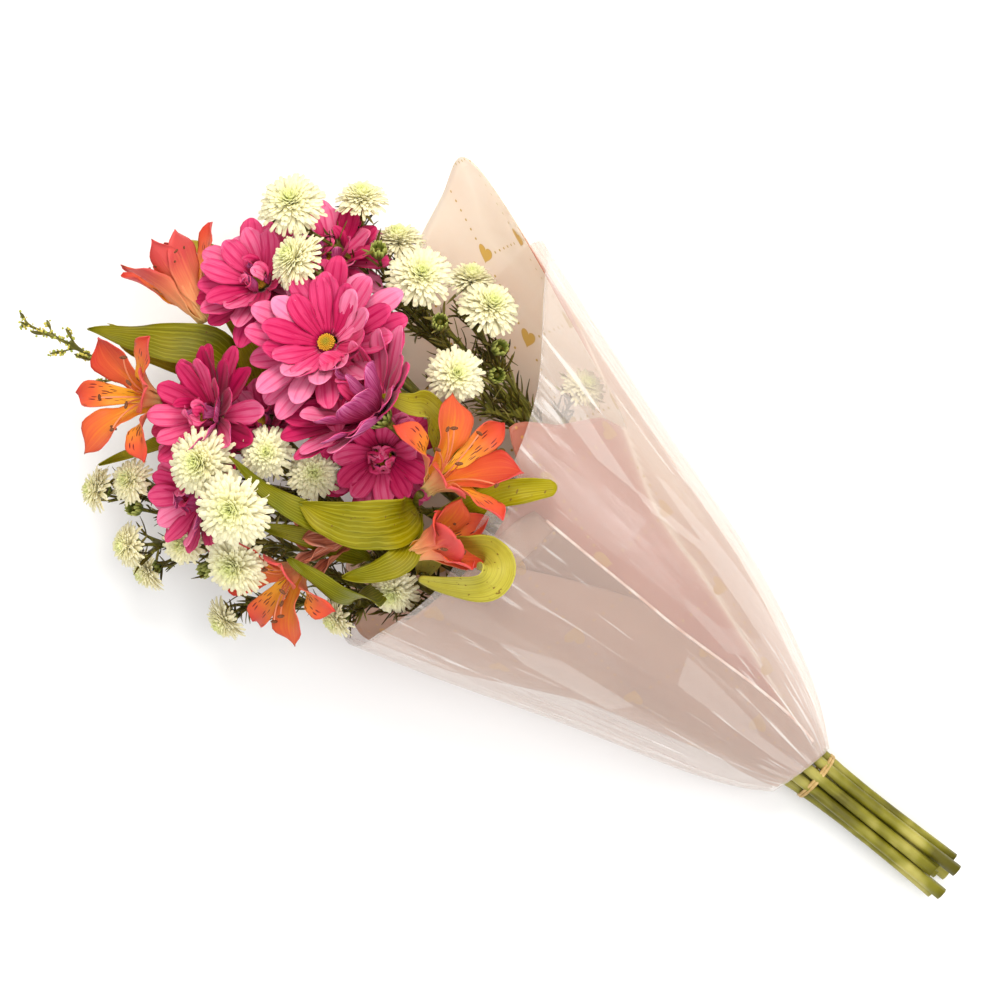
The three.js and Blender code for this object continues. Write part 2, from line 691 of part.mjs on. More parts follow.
// `whorls` are rings of petals round the cup's bands. The cup stays small inside the bloom.
function bloom(head, { profile, slots, whorls, start = 0 }) {
  const rings = turnedRings(profile, head.at, head.faces, slots, start);
  const frame = across(head.faces);
  const petals = [];
  const growths = [];
  for (const whorl of whorls) {
    for (let slot = whorl.first ?? 0; slot < slots; slot += whorl.every ?? 1) {
      const turn = start + (2 * Math.PI * (slot + 0.5 + (whorl.lead ?? 0))) / slots + head.draw(-0.05, 0.05);
      const spoke = spokeOf(frame, turn);
      const [low, high] = [profile[whorl.band], profile[whorl.band + 1]];
      const foot = head.at
        .clone()
        .addScaledVector(spoke, (low[0] + high[0]) / 2 + 0.4)
        .addScaledVector(head.faces, (low[1] + high[1]) / 2);
      const length = whorl.length * head.draw(0.93, 1.05);
      const tilt = degToRad(head.draw(-5, 5));
      const make = (bend, scale, grow) => {
        const [open, close] = [degToRad(whorl.open) + bend / 2, degToRad(whorl.close) + tilt + bend];
        const points = arcPoints(foot, spoke, head.faces, open, close, length * scale, whorl.steps);
        return bladeRings(points, { ...whorl, face: head.faces.clone().addScaledVector(spoke, -0.3), grow });
      };
      const blade = bentClear(make, head.name, petals);
      if (blade) growths.push({ band: whorl.band, slot, rings: blade.slice(1) });
    }
  }
  return loft(rings, growths);
}

// A ray is narrow where it leaves the cup, broad past the middle and blunt at its tip.
const rayOutline = (t) => 0.42 + 0.58 * Math.sin(Math.PI * Math.min(1, 0.96 * t ** 0.9)) + 0.06 * t;

// Broad magenta rays in two layers, the upper one more upright.
function chrysanthemum(head) {
  const cup = 5.6;
  const length = head.reach - cup;
  const width = (0.3 * (2 * Math.PI * head.reach)) / head.rays + 2.4;
  const { closed = 0 } = head;
  const ray = { outline: rayOutline, thickness: 1.2, trough: 0.2, steps: 3 };
  const inner = { ...ray, band: 2, length: length * 0.9, width: width * 0.95, lead: 0.5, steps: 2 };
  return bloom(head, {
    profile: [
      [cup * 0.8, 0],
      [cup, 1.6],
      [cup, 3.2],
      [cup * 0.85, 4.4],
    ],
    slots: head.rays,
    start: head.draw(0, 1),
    whorls: [
      { ...ray, band: 0, open: 86 - closed, close: 80 - closed, length, width },
      { ...inner, open: 66 - closed / 2, close: 44 - closed / 2 },
    ],
  });
}

// The tight yellow disc of florets, domed.
const DISC_PROFILE = [
  [4.1, 0],
  [4.2, 1.2],
  [1.6, 2.3],
];
function disc(head) {
  const seat = head.at.clone().addScaledVector(head.faces, 4.4 + CLEARANCE);
  return loft(turnedRings(DISC_PROFILE, seat, head.faces, 7));
}

// Six tepals that start as a tube and flare, three broad ones outside three narrow, and the stamens.
function alstroemeria(head) {
  const isFaded = head.name.endsWith("faded");
  const tepal = {
    band: 1,
    thickness: 1.2,
    outline: (t) => 0.3 + 0.7 * Math.sin(0.82 * Math.PI * t ** 2.2),
    steps: 3,
    length: head.reach,
  };
  const outer = { ...tepal, first: 0, every: 2, width: isFaded ? 12 : 20, trough: 0.2 };
  const inner = { ...tepal, first: 1, every: 2, width: isFaded ? 8 : 13, trough: 0.3 };
  const stamen = {
    band: 2,
    thickness: 1.2,
    outline: (t) => 1 + 0.5 * t,
    open: 8,
    close: head.flare * 0.4,
    steps: 1,
    length: head.reach * 0.72,
    width: 1.2,
  };
  return bloom(head, {
    profile: [
      [2.2, 0],
      [3.2, 3],
      [3, 6.5],
      [1.7, 8],
    ],
    slots: 6,
    start: head.draw(0, 1),
    whorls: [
      { ...outer, open: 12, close: head.flare },
      { ...inner, open: 6, close: head.flare * 0.86 },
      ...(isFaded ? [] : [stamen]),
    ],
  });
}

// Radius and height of the room that the leaves leave round an alstroemeria's tube.
const TUBE_ROOM = [
  [3.6, -CLEARANCE],
  [6, 8],
  [9, 20],
];

// A dense double head: every facet of a flattened ball stands up as one pointed floret.
const FINE_ASTER = 15.5; // a head with a longer reach has more florets
function aster(head) {
  const facets = new THREE.OctahedronGeometry(1, head.reach > FINE_ASTER ? 2 : 1).getAttribute("position");
  const turn = new THREE.Quaternion().setFromUnitVectors(new Vector3(0, 0, 1), head.faces);
  const core = new Vector3(0.64, 0.64, 0.42);
  const florets = [];
  for (let i = 0; i < facets.count; i += 3) {
    const corners = [0, 1, 2].map((k) => new Vector3().fromBufferAttribute(facets, i + k));
    const middle = corners[0].clone().add(corners[1]).add(corners[2]).normalize();
    const stand = middle.z < -0.5 ? 1 : head.draw(0.92, 1.08) / core.x;
    florets.push({ corners, tip: middle.multiply(new Vector3(stand, stand, stand ** 0.75)) });
  }
  const make = (scale, grow) => {
    const size = head.reach * scale + grow;
    const seat = new Vector3(0, 0, core.z * size + CLEARANCE - grow);
    const place = (p) =>
      p.clone().multiply(core).multiplyScalar(size).add(seat).applyQuaternion(turn).add(head.at);
    const sides = florets.flatMap(({ corners: [a, b, c], tip }) => [a, b, tip, b, c, tip, c, a, tip]);
    return solidOf(new THREE.BufferGeometry().setFromPoints(sides.map(place)));
  };
  const scale = [1, 0.94, 0.88, 0.8, 0.7].find((s) => isClear(make(s, CLEARANCE), head.stem));
  if (!scale) throw new Error(head.name + " has no room");
  return make(scale, 0);
}

// ---------------------------------------------------------------- leaves

// Broad strap leaves of the alstroemerias: points from the stem to the tip, and the way they face.
const LEAVES = {
  alstroemeria_stem_left: [
    {
      through: [[-150, -38, 82], [-178, -30, 104], [-205, -44, 108], [-236, -62, 98]],
      width: 21,
      face: [0.2, 0.5, 0.8],
    },
    {
      through: [[-148, -38, 82], [-186, -42, 90], [-214, -52, 90], [-232, -54, 82]],
      width: 17,
      face: [0, -0.3, 0.9],
    },
    {
      through: [[-146, -36, 80], [-190, 0, 84], [-214, 6, 88], [-236, -2, 84]],
      width: 11,
      face: [-0.2, 0.4, 0.9],
    },
    { through: [[-144, -36, 80], [-172, -18, 104], [-188, -12, 114]], width: 17, face: [0.3, 0.4, 0.8] },
    { through: [[-150, -40, 82], [-176, -84, 78], [-192, -112, 72]], width: 8, face: [-0.3, -0.4, 0.8] },
  ],
  alstroemeria_stem_front: [
    {
      through: [[-60, 8, 104], [-76, 14, 142], [-88, 11, 159], [-101, 6, 160]],
      width: 19,
      face: [0.1, 0.4, 0.85],
    },
    {
      through: [[-46, -26, 116], [-37, -12, 140], [-22, 14, 155], [-3, 32, 150]],
      width: 14,
      face: [0.3, 0.1, 0.9],
    },
    {
      through: [[-48, -24, 132], [-58, -36, 151], [-75, -51, 158], [-98, -58, 154]],
      width: 25,
      face: [0, -0.3, 0.9],
    },
    {
      through: [[-46, -30, 130], [-44, -44, 148], [-49, -59, 151], [-60, -72, 146]],
      width: 14,
      face: [-0.2, -0.2, 0.9],
    },
  ],
  alstroemeria_stem_low: [
    {
      through: [[-32, -48, 92], [-36, -42, 126], [-29, -44, 156], [-8, -36, 168], [-8, -20, 170]],
      width: 20,
      face: [0.5, -0.2, 0.8],
    },
    {
      through: [[-50, -50, 100], [-82, -57, 146], [-109, -63, 158], [-137, -62, 163]],
      width: 13,
      face: [0.1, 0.3, 0.9],
    },
    {
      through: [[-36, -66, 96], [-48, -76, 130], [-65, -81, 140], [-86, -82, 137]],
      width: 13,
      face: [-0.1, -0.5, 0.8],
    },
    {
      through: [[-56, -58, 100], [-79, -66, 126], [-94, -73, 133], [-108, -80, 134]],
      width: 12,
      face: [-0.1, -0.1, 0.9],
    },
  ],
};
const leafOutline = (t) => 0.14 + 0.86 * Math.sin(Math.PI * (0.08 + 0.86 * t)) ** 0.85;

// The point of a stem's centre lines that is nearest to `point`.
function nearestOn(lines, point) {
  const nearest = (start, end) => new THREE.Line3(start, end).closestPointToPoint(point, true, new Vector3());
  const spots = lines.flatMap((line) => line.slice(1).map((end, i) => nearest(line[i], end)));
  return spots.sort((a, b) => a.distanceTo(point) - b.distanceTo(point))[0];
}

const LEAF_YAWS = [0, 7, -7, 14, -14, 21, -21].map(degToRad); // a leaf may also turn sideways
function strapLeaf({ through, width, face }, stem, lines) {
  const [hint, ...rest] = through.map(vec);
  const root = nearestOn(lines, hint);
  const faces = vec(face).normalize();
  const swing = new Vector3().crossVectors(rest.at(-1).clone().sub(root), faces).normalize();
  const shape = { width, outline: leafOutline, thickness: 1.2, face: faces, trough: 0.18 };
  const turned = (point, yaw, bend) =>
    point.clone().sub(root).applyAxisAngle(faces, yaw).applyAxisAngle(swing, bend * 0.6);
  for (const scale of SCALES) {
    for (const yaw of LEAF_YAWS) {
      const make = (bend, _, grow) => {
        const points = rest.map((p) => turned(p, yaw, bend).multiplyScalar(scale).add(root));
        return bladeRings(curveThrough([root, ...points]).getSpacedPoints(5), { ...shape, grow });
      };
      const rings = bentClear(make, stem, [], [scale]);
      if (rings) return keep(stem, loft(rings));
    }
  }
  return null;
}

// The narrow leaves of an aster, raised from the facets of each tuft's band.
const NEEDLE = { width: 1.9, outline: (t) => 1 - 0.7 * t, thickness: 1 };
function leafyStalk({ head, centres, radii, sides, bands }) {
  const rings = stemRings(centres, radii, sides);
  const growths = [];
  for (const band of bands) {
    const ahead = centres[band + 1].clone().sub(centres[band]).normalize();
    for (let slot = 0; slot < sides - 1; slot++) {
      const corners = [rings[band][slot], rings[band][slot + 1], rings[band + 1][slot + 1]];
      const foot = corners[0].clone().add(rings[band + 1][slot + 1]).divideScalar(2);
      const out = foot.clone().sub(centres[band]).addScaledVector(ahead, -TUFT_BAND / 2).normalize();
      const length = head.draw(9, 17);
      const make = (bend, scale, grow) => {
        const points = arcPoints(foot, out, ahead, 0.9 + bend, 0.4 + bend, length * scale, 1);
        return bladeRings(points, { ...NEEDLE, face: ahead, grow });
      };
      const blade = bentClear(make, head.stem);
      if (!blade) continue;
      keep(head.stem, loft(blade));
      growths.push({ band, slot, rings: blade.slice(1) });
    }
  }
  return loft(rings, growths);
}

// Goldenrod: an arching tip with side twigs that swell into small round flower buds.
const GOLDENROD_TIP = [[-238, -74, 68], [-271, -83, 60]];
const TWIG_BANDS = 5;
const TWIG_SWELLING = [1, 1, 3.4, 0.8];
function goldenrodTip({ end, radius, stem }) {
  const draw = seeded(77);
  const axis = curveThrough([end, ...GOLDENROD_TIP.map(vec)]);
  const places = Array.from({ length: TWIG_BANDS }, (_, i) => 0.18 + (0.76 * i) / (TWIG_BANDS - 1));
  const bandHalf = TUFT_BAND / 2 / axis.getLength();
  const stops = [0, ...places.flatMap((t) => [t - bandHalf, t + bandHalf]), 1];
  const centres = stops.map((t) => axis.getPointAt(t));
  const rings = stemRings(centres, stops.map((t) => radius * lerp(0.72, 0.3, t)), 5);
  const growths = [];
  places.forEach((t, i) => {
    const band = 1 + 2 * i;
    const ahead = centres[band + 1].clone().sub(centres[band]).normalize();
    for (const slot of [i % 5, (i + 2) % 5]) {
      const foot = rings[band][slot].clone().add(rings[band + 1][(slot + 1) % 5]).divideScalar(2);
      const out = foot.clone().sub(axis.getPointAt(t)).normalize();
      const length = (1 - t) * 9 + draw(6, 9);
      const make = (bend, scale, grow) => {
        const points = arcPoints(foot, out, ahead, 1 + bend, 0.5 + bend, length * scale, 3);
        return points.map((point, k) => {
          const spread = across(ahead).map((way) => way.multiplyScalar(TWIG_SWELLING[k] * 0.5 + grow));
          return [-1, 1].flatMap((sign) => [
            point.clone().addScaledVector(spread[1], sign),
            point.clone().addScaledVector(spread[0], -sign),
          ]);
        });
      };
      const twig = bentClear(make, stem);
      if (twig) growths.push({ band, slot, rings: twig.slice(1) });
    }
  });
  return loft(rings, growths);
}

// ---------------------------------------------------------------- assembly

const finish = (color, roughness, extra = {}) =>
  new THREE.MeshStandardMaterial({ color, roughness, metalness: 0, ...extra });
const MATERIALS = {
  clear: finish(0xf4f1ee, 0.12, { transparent: true, opacity: 0.35 }),
  printed: finish(0xe9bfb4, 0.3),
  band: finish(0xc9a86b, 0.7),
  chrysanthemum: finish(0xc93a86, 0.6),
  disc: finish(0xd9a21e, 0.8),
  alstroemeria: finish(0xe8663a, 0.5),
  faded: finish(0xb9776a, 0.6),
  aster: finish(0xf1efd2, 0.7),
  stem: finish(0x5f7a34, 0.6),
  leaf: finish(0x8fa83a, 0.5),
  goldenrod: finish(0xb9bd4f, 0.7),
};

const bouquet = new THREE.Group();

function add(name, solid, material) {
  const { numProp, vertProperties, triVerts } = solid.getMesh();
  const positions = new Float32Array((vertProperties.length / numProp) * 3);
  for (let i = 0; i < positions.length / 3; i++) {
    positions.set(vertProperties.subarray(i * numProp, i * numProp + 3), i * 3);
  }
  const geometry = new THREE.BufferGeometry();
  geometry.setAttribute("position", new THREE.BufferAttribute(positions, 3));
  geometry.setIndex(new THREE.BufferAttribute(triVerts, 1));
  geometry.computeVertexNormals();
  const mesh = new THREE.Mesh(geometry, material);
  mesh.name = name;
  bouquet.add(mesh);
}

// The wrapper comes first, then bare stems, then heads, and last the leaves, each clear of the earlier.
add("clear_sleeve", keep("clear_sleeve", clearSleeve()), MATERIALS.clear);
add("printed_film", keep("printed_film", printedFilm()), MATERIALS.printed);
add("elastic_band", keep("elastic_band", elasticBand()), MATERIALS.band);

for (const main of mains) keep(main.stem, mainStem(main));
const bareStalks = stalks.map((strand) => {
  const stalk = stalkAndCup(strand);
  keep(strand.stem, stemAlong(stalk.centres, stalk.radii, stalk.sides));
  return stalk;
});

for (const head of headsOf("aster")) {
  add(head.name, keep(head.name, aster(head)), MATERIALS.aster);
}
for (const head of headsOf("chrysanthemum")) {
  const name = head.name.replace("chrysanthemum", "chrysanthemum_disc");
  add(name, keep(name, disc(head)), MATERIALS.disc);
}
for (const head of headsOf("chrysanthemum")) {
  add(head.name, keep(head.name, chrysanthemum(head)), MATERIALS.chrysanthemum);
}
const sprigTip = goldenrodTip(mains.find(({ stem }) => stem === "goldenrod_sprig"));
keep("goldenrod_sprig", sprigTip);

for (const head of headsOf("alstroemeria")) {
  keep(head.name, loft(turnedRings(TUBE_ROOM, head.at, head.faces, 6)));
}
const leaves = new Map();
for (const main of mains) {
  const own = bareStalks.filter(({ head }) => head.stem === main.stem);
  const lines = [main.centres, ...own.map(({ centres }) => centres)];
  const grown = (LEAVES[main.stem] ?? []).map((leaf) => strapLeaf(leaf, main.stem, lines));
  leaves.set(main.stem, grown.filter(Boolean));
}
for (const head of headsOf("alstroemeria")) {
  const material = head.name.endsWith("faded") ? MATERIALS.faded : MATERIALS.alstroemeria;
  add(head.name, keep(head.name, alstroemeria(head)), material);
}

for (const main of mains) {
  const own = bareStalks.filter(({ head }) => head.stem === main.stem);
  const strap = leaves.get(main.stem);
  const tips = main.stem === "goldenrod_sprig" ? [sprigTip] : [];
  const material = tips.length ? MATERIALS.goldenrod : strap.length ? MATERIALS.leaf : MATERIALS.stem;
  add(main.stem, fuse([mainStem(main), ...own.map(leafyStalk), ...strap, ...tips]), material);
}

export default bouquet;
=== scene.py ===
# A mixed flower bouquet in its wrapper, lying on a table: spray chrysanthemums, alstroemerias, double
# asters and a sprig of goldenrod, wound in a printed film, slipped into a clear conical sleeve, and held
# by an elastic band. A piece is shaped in millimetres and turned to metres when it is finished. +X runs
# along the stems to their cut ends, -X to the blooms, and z = 0 is the table.
import math
import random

import bmesh
import bpy
from mathutils import Matrix, Vector, noise
from mathutils.bvhtree import BVHTree


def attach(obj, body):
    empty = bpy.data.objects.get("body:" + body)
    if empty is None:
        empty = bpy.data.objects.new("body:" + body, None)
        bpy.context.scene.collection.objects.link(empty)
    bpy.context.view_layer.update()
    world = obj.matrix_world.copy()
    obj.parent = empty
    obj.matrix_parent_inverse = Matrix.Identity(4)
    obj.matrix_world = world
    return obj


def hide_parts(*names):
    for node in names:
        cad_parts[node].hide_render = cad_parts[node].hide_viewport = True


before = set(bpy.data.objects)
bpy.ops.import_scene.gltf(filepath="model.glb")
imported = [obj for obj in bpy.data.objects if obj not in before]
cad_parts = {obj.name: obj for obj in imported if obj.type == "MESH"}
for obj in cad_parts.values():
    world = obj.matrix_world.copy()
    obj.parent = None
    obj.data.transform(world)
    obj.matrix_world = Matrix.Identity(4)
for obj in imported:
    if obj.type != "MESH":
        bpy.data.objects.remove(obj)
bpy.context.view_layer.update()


# ------------------------------------------------------------------ stems
# Twelve cut flower stems: living green tissue with fine ribs along it, cut across at the lower end.
# Their stalks part at a fork and widen into the green cup under each head.

ROUGH_STEMS = {
    "chrysanthemum_spray_top": "green_stem",
    "chrysanthemum_spray_front": "green_stem",
    "chrysanthemum_spray_left": "green_stem",
    "alstroemeria_stem_front": "strap_leaves",
    "alstroemeria_stem_low": "strap_leaves",
    "alstroemeria_stem_left": "strap_leaves",
    "aster_spray_right": "fine_foliage",
    "aster_spray_low": "fine_foliage",
    "aster_spray_back": "fine_foliage",
    "aster_spray_top": "fine_foliage",
    "aster_spray_middle": "fine_foliage",
    "goldenrod_sprig": "goldenrod",
}
TO_BLOOMS = Vector((-0.6, 0, 0.8))  # the way that all stalks grow, more or less
CUT_FROM = 255  # x beyond which a face across the stem is its cut end
BLADE_AT_MOST = 1.6  # mm of thickness under which a face of a stem's solid belongs to a leaf


def srgb(code):
    """The linear colour of an sRGB hex value."""
    parts = [int(code[i : i + 2], 16) / 255 for i in (1, 3, 5)]
    linear = [c / 12.92 if c <= 0.04045 else ((c + 0.055) / 1.055) ** 2.4 for c in parts]
    return (*linear, 1.0)


def link(tree, node, links):
    """Feeds inputs of a node, each from a socket or from the first output of another node."""
    for key, source in links.items():
        socket = source if isinstance(source, bpy.types.NodeSocket) else source.outputs[0]
        tree.links.new(socket, node.inputs[key])


def add(tree, kind, values={}, links={}, ramp=(), **settings):
    """Adds one node with its settings, the values and links of its inputs, and the stops of its ramp."""
    made = tree.nodes.new("ShaderNode" + kind)
    for key, value in settings.items():
        setattr(made, key, value)
    for key, value in values.items():
        made.inputs[key].default_value = value
    link(tree, made, links)
    if ramp:
        first, last = made.color_ramp.elements
        first.position, first.color = ramp[0][0], srgb(ramp[0][1])
        last.position, last.color = ramp[-1][0], srgb(ramp[-1][1])
        for place, colour in ramp[1:-1]:
            made.color_ramp.elements.new(place).color = srgb(colour)
    return made


def coloured(tree, shader, by, colours):
    """Colours a surface by a ramp that `by` runs along."""
    link(tree, shader, {"Base Color": add(tree, "ValToRGB", {}, {"Fac": by}, colours)})


def finish_of(name, **values):
    """A new material, its node tree and its shader, whose sockets take `values`."""
    material = bpy.data.materials.new(name)
    material.use_nodes = True
    shader = material.node_tree.nodes["Principled BSDF"]
    for key, value in values.items():
        shader.inputs[key.replace("_", " ")].default_value = value
    return material, material.node_tree, shader


def new_piece(name, bm, materials, stands_for=(), wall=0.0, under=0):
    """Turns a shape in millimetres into a finished piece that rides on the bouquet."""
    bmesh.ops.scale(bm, vec=(0.001, 0.001, 0.001), verts=bm.verts)
    mesh = bpy.data.meshes.new(name)
    bm.to_mesh(mesh)
    bm.free()
    mesh.shade_smooth()
    for material in materials:
        mesh.materials.append(material)
    piece = bpy.data.objects.new(name, mesh)
    bpy.context.scene.collection.objects.link(piece)
    if wall:
        shell = piece.modifiers.new("Wall", "SOLIDIFY")
        shell.thickness = wall / 1000
        shell.offset = -1
        shell.material_offset = under
        shell.material_offset_rim = under
    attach(piece, "root")
    if stands_for:
        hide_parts(*stands_for)
    return piece


def rounded(piece, levels):
    """Rounds a piece with a subdivision surface."""
    smooth = piece.modifiers.new("Rounded", "SUBSURF")
    smooth.levels = levels
    smooth.render_levels = levels
    return piece


# Stem skin: waxy living tissue, IOR 1.4, with fine ribs and streaks along the stem, 1.5 mm apart. It is
# darker among the blooms and pale yellow-green near the cut.
stem_skin, tree, shader = finish_of(
    "stem_skin", Roughness=0.42, IOR=1.4, Subsurface_Weight=0.1, Subsurface_Radius=(0.002, 0.003, 0.001),
    Specular_IOR_Level=0.35,
)
place = add(tree, "TexCoord").outputs["Object"]
along = add(tree, "Mapping", {"Scale": (40, 650, 650)}, {"Vector": place})
streaks = add(tree, "TexNoise", {"Scale": 1.0, "Detail": 3.0}, {"Vector": along})
patches = add(tree, "TexNoise", {"Scale": 45.0, "Detail": 2.0}, {"Vector": place})
apart = add(tree, "SeparateXYZ", {}, {"Vector": place})
toward_cut = add(tree, "MapRange", {1: 0.0, 2: 0.26, 3: 0.0, 4: 1.0}, {0: apart.outputs["X"]})
dark = add(tree, "ValToRGB", {}, {"Fac": streaks}, [(0.3, "#3A390C"), (0.52, "#5E5A18"), (0.72, "#8A8438")])
pale = add(tree, "ValToRGB", {}, {"Fac": patches}, [(0.34, "#5A5410"), (0.5, "#807A1E"), (0.66, "#B0A654")])
mixed = add(tree, "Mix", {}, {0: toward_cut, 6: dark, 7: pale}, data_type="RGBA")
ribs = add(tree, "Bump", {"Strength": 0.35, "Distance": 0.0004}, {"Height": streaks})
link(tree, shader, {"Base Color": mixed.outputs[2], "Normal": ribs})

# Cut end: wet pale pith dotted with greener strands 0.6 mm apart, matt.
cut_pith, tree, shader = finish_of("cut_pith", Roughness=0.7, IOR=1.38)
strands = add(tree, "TexVoronoi", {"Scale": 1600.0}, {"Vector": add(tree, "TexCoord").outputs["Object"]})
coloured(tree, shader, strands, [(0.0, "#8C9347"), (0.35, "#C8CA86"), (0.8, "#DAD9A4")])


def copy_of(name):
    """A CAD node's solid in millimetres, its loose triangles merged."""
    bm = bmesh.new()
    bm.from_mesh(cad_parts[name].data)
    bmesh.ops.scale(bm, vec=(1000, 1000, 1000), verts=bm.verts)
    bmesh.ops.remove_doubles(bm, verts=bm.verts, dist=0.002)
    return bm


def strip_blades(bm):
    """Takes the leaf blades off a stem's solid and keeps its round body."""
    inside = BVHTree.FromBMesh(bm)
    blades = []
    for face in bm.faces:
        start = face.calc_center_median() - 0.01 * face.normal
        if inside.ray_cast(start, -face.normal, BLADE_AT_MOST)[0] is not None:
            blades.append(face)
    bmesh.ops.delete(bm, geom=blades, context="FACES")
    todo = set(bm.faces)
    bodies = []
    while todo:
        body = {todo.pop()}
        edge_of = list(body)
        while edge_of:
            near = {f for e in edge_of.pop().edges for f in e.link_faces} & todo
            todo -= near
            body |= near
            edge_of += near
        bodies.append(body)
    stem = max(bodies, key=len)
    crumbs = [face for body in bodies if body is not stem for face in body]
    bmesh.ops.delete(bm, geom=crumbs, context="FACES")
    bmesh.ops.holes_fill(bm, edges=[e for e in bm.edges if e.is_boundary], sides=0)


placed = []  # trees of what is already in place, so that petals bend aside
stem_trees = {}
stem_faces = {}  # centre, normal, length direction and area of each face of a stem
for name, slot in ROUGH_STEMS.items():
    bm = copy_of(name)
    if slot == "strap_leaves":
        strip_blades(bm)
    stem_trees[name] = BVHTree.FromBMesh(bm)
    placed.append(stem_trees[name])
    stem_faces[name] = []
    for face in bm.faces:
        longest = max(face.edges, key=lambda e: e.calc_length())
        run = (longest.verts[0].co - longest.verts[1].co).normalized()
        run *= 1 if run.dot(TO_BLOOMS) > 0 else -1
        stem_faces[name].append((face.calc_center_median(), face.normal.copy(), run, face.calc_area()))
    bmesh.ops.join_triangles(
        bm, faces=bm.faces, angle_face_threshold=math.radians(40), angle_shape_threshold=math.radians(60)
    )
    sharp = bm.edges.layers.float.new("crease_edge")
    for face in bm.faces:
        if face.normal.x > 0.7 and face.calc_center_median().x > CUT_FROM:
            face.material_index = 1
            for edge in face.edges:
                edge[sharp] = 1.0
    for vert in bm.verts:
        vert.co += 0.25 * vert.normal  # the rounding takes this off again
    piece = new_piece(name + "_skin", bm, [stem_skin, cut_pith], [name])
    rounded(piece, 2)
for name in ("clear_sleeve", "printed_film"):
    bm = copy_of(name)
    placed.append(BVHTree.FromBMesh(bm))
    bm.free()


# ------------------------------------------------------------------ narrow leaves of the asters
# Each aster spray carries hundreds of narrow dark leaves, 6 to 13 mm long, that grow from the stalks and
# crowd under the heads.

NEEDLES_EACH = 330
NEEDLES_FROM = -8  # x from which the stalks carry needles
NEEDLE_WIDTH = 1.5


def blade(bm, centres, face, outline, width, columns, cup=0.0, ribs=None, blunt=0.0, ruffle=0.0, tint=0.5):
    """One petal or leaf: a grid whose rows cross `centres` and whose upper side looks to `face`. `cup`
    lifts its edges, `ribs` are lifts across it in mm, `blunt` rounds its tip and `ruffle` waves its edges."""
    rows = len(centres) - 1
    shade = bm.verts.layers.float.get("tint") or bm.verts.layers.float.new("tint")
    if not bm.loops.layers.uv.active:
        bm.loops.layers.uv.new("UVMap")
    made = bmesh.ops.create_grid(bm, x_segments=columns, y_segments=rows, size=1, calc_uvs=True)["verts"]
    steps = []
    for i, centre in enumerate(centres):
        ahead = (centres[min(i + 1, rows)] - centres[max(i - 1, 0)]).normalized()
        side = ahead.cross(face).normalized()
        steps.append((centre, ahead, side, side.cross(ahead)))
    for vert in made:
        off, t = vert.co.x, (vert.co.y + 1) / 2
        centre, ahead, side, up = steps[round(t * rows)]
        half = width / 2 * outline(t)
        lift = cup * half * off * off
        if ribs:
            lift += ribs[round((off + 1) / 2 * columns)] * math.sin(math.pi * min(1, 0.1 + t))
        if ruffle:
            lift += ruffle * off * abs(off) * math.sin(9 * t + 7 * tint + off)
            lift += 0.3 * ruffle * off * off * math.sin(24 * t + 11 * tint)
        back = blunt * width * t ** 4 * off * off
        vert.co = centre + side * (off * half) + up * lift - ahead * back
        vert[shade] = tint
    return made


def arc(foot, spoke, axis, opening, closing, length, steps, sway=0.0):
    """Points of an arc that leaves `foot` at `opening` from `axis` towards `spoke` and ends at `closing`."""
    points = [foot.copy()]
    aside = axis.cross(spoke)
    for i in range(steps):
        t = (i + 0.5) / steps
        angle = opening + (closing - opening) * t
        ahead = spoke * math.sin(angle) + axis * math.cos(angle) + aside * (sway * t)
        points.append(points[-1] + ahead.normalized() * (length / steps))
    return points


def tinted(tree, shader, colours):
    """Colours each petal, leaf or bud by its own tint."""
    coloured(tree, shader, add(tree, "Attribute", attribute_name="tint").outputs["Fac"], colours)


# Needle leaf: thin waxy blade, dark green above, slightly glossy.
needle_skin, tree, shader = finish_of(
    "needle_skin", Roughness=0.5, IOR=1.42, Subsurface_Weight=0.08, Subsurface_Radius=(0.001, 0.002, 0.0005),
    Specular_IOR_Level=0.2,
)
tinted(tree, shader, [(0.0, "#332A08"), (0.45, "#54480E"), (0.8, "#75692A"), (1.0, "#9C9250")])

for name in [n for n, slot in ROUGH_STEMS.items() if slot == "fine_foliage"]:
    luck = random.Random(name)
    spots = [spot for spot in stem_faces[name] if spot[0].x < NEEDLES_FROM]
    bm = bmesh.new()
    for centre, _, run, _ in luck.choices(spots, weights=[s[3] for s in spots], k=NEEDLES_EACH):
        foot, spoke = stem_trees[name].find_nearest(centre + run * luck.uniform(-6, 6))[:2]
        points = arc(foot, spoke.normalized(), run, luck.uniform(0.5, 1.1), luck.uniform(0.1, 1.3),
                     luck.uniform(6, 13), 4, luck.uniform(-0.5, 0.5))
        blade(bm, points, run, lambda t: 0.75 + 0.5 * t - 1.2 * t ** 3, NEEDLE_WIDTH, 2, cup=0.4,
              tint=luck.random())
    new_piece(name + "_leaves", bm, [needle_skin], wall=0.25)
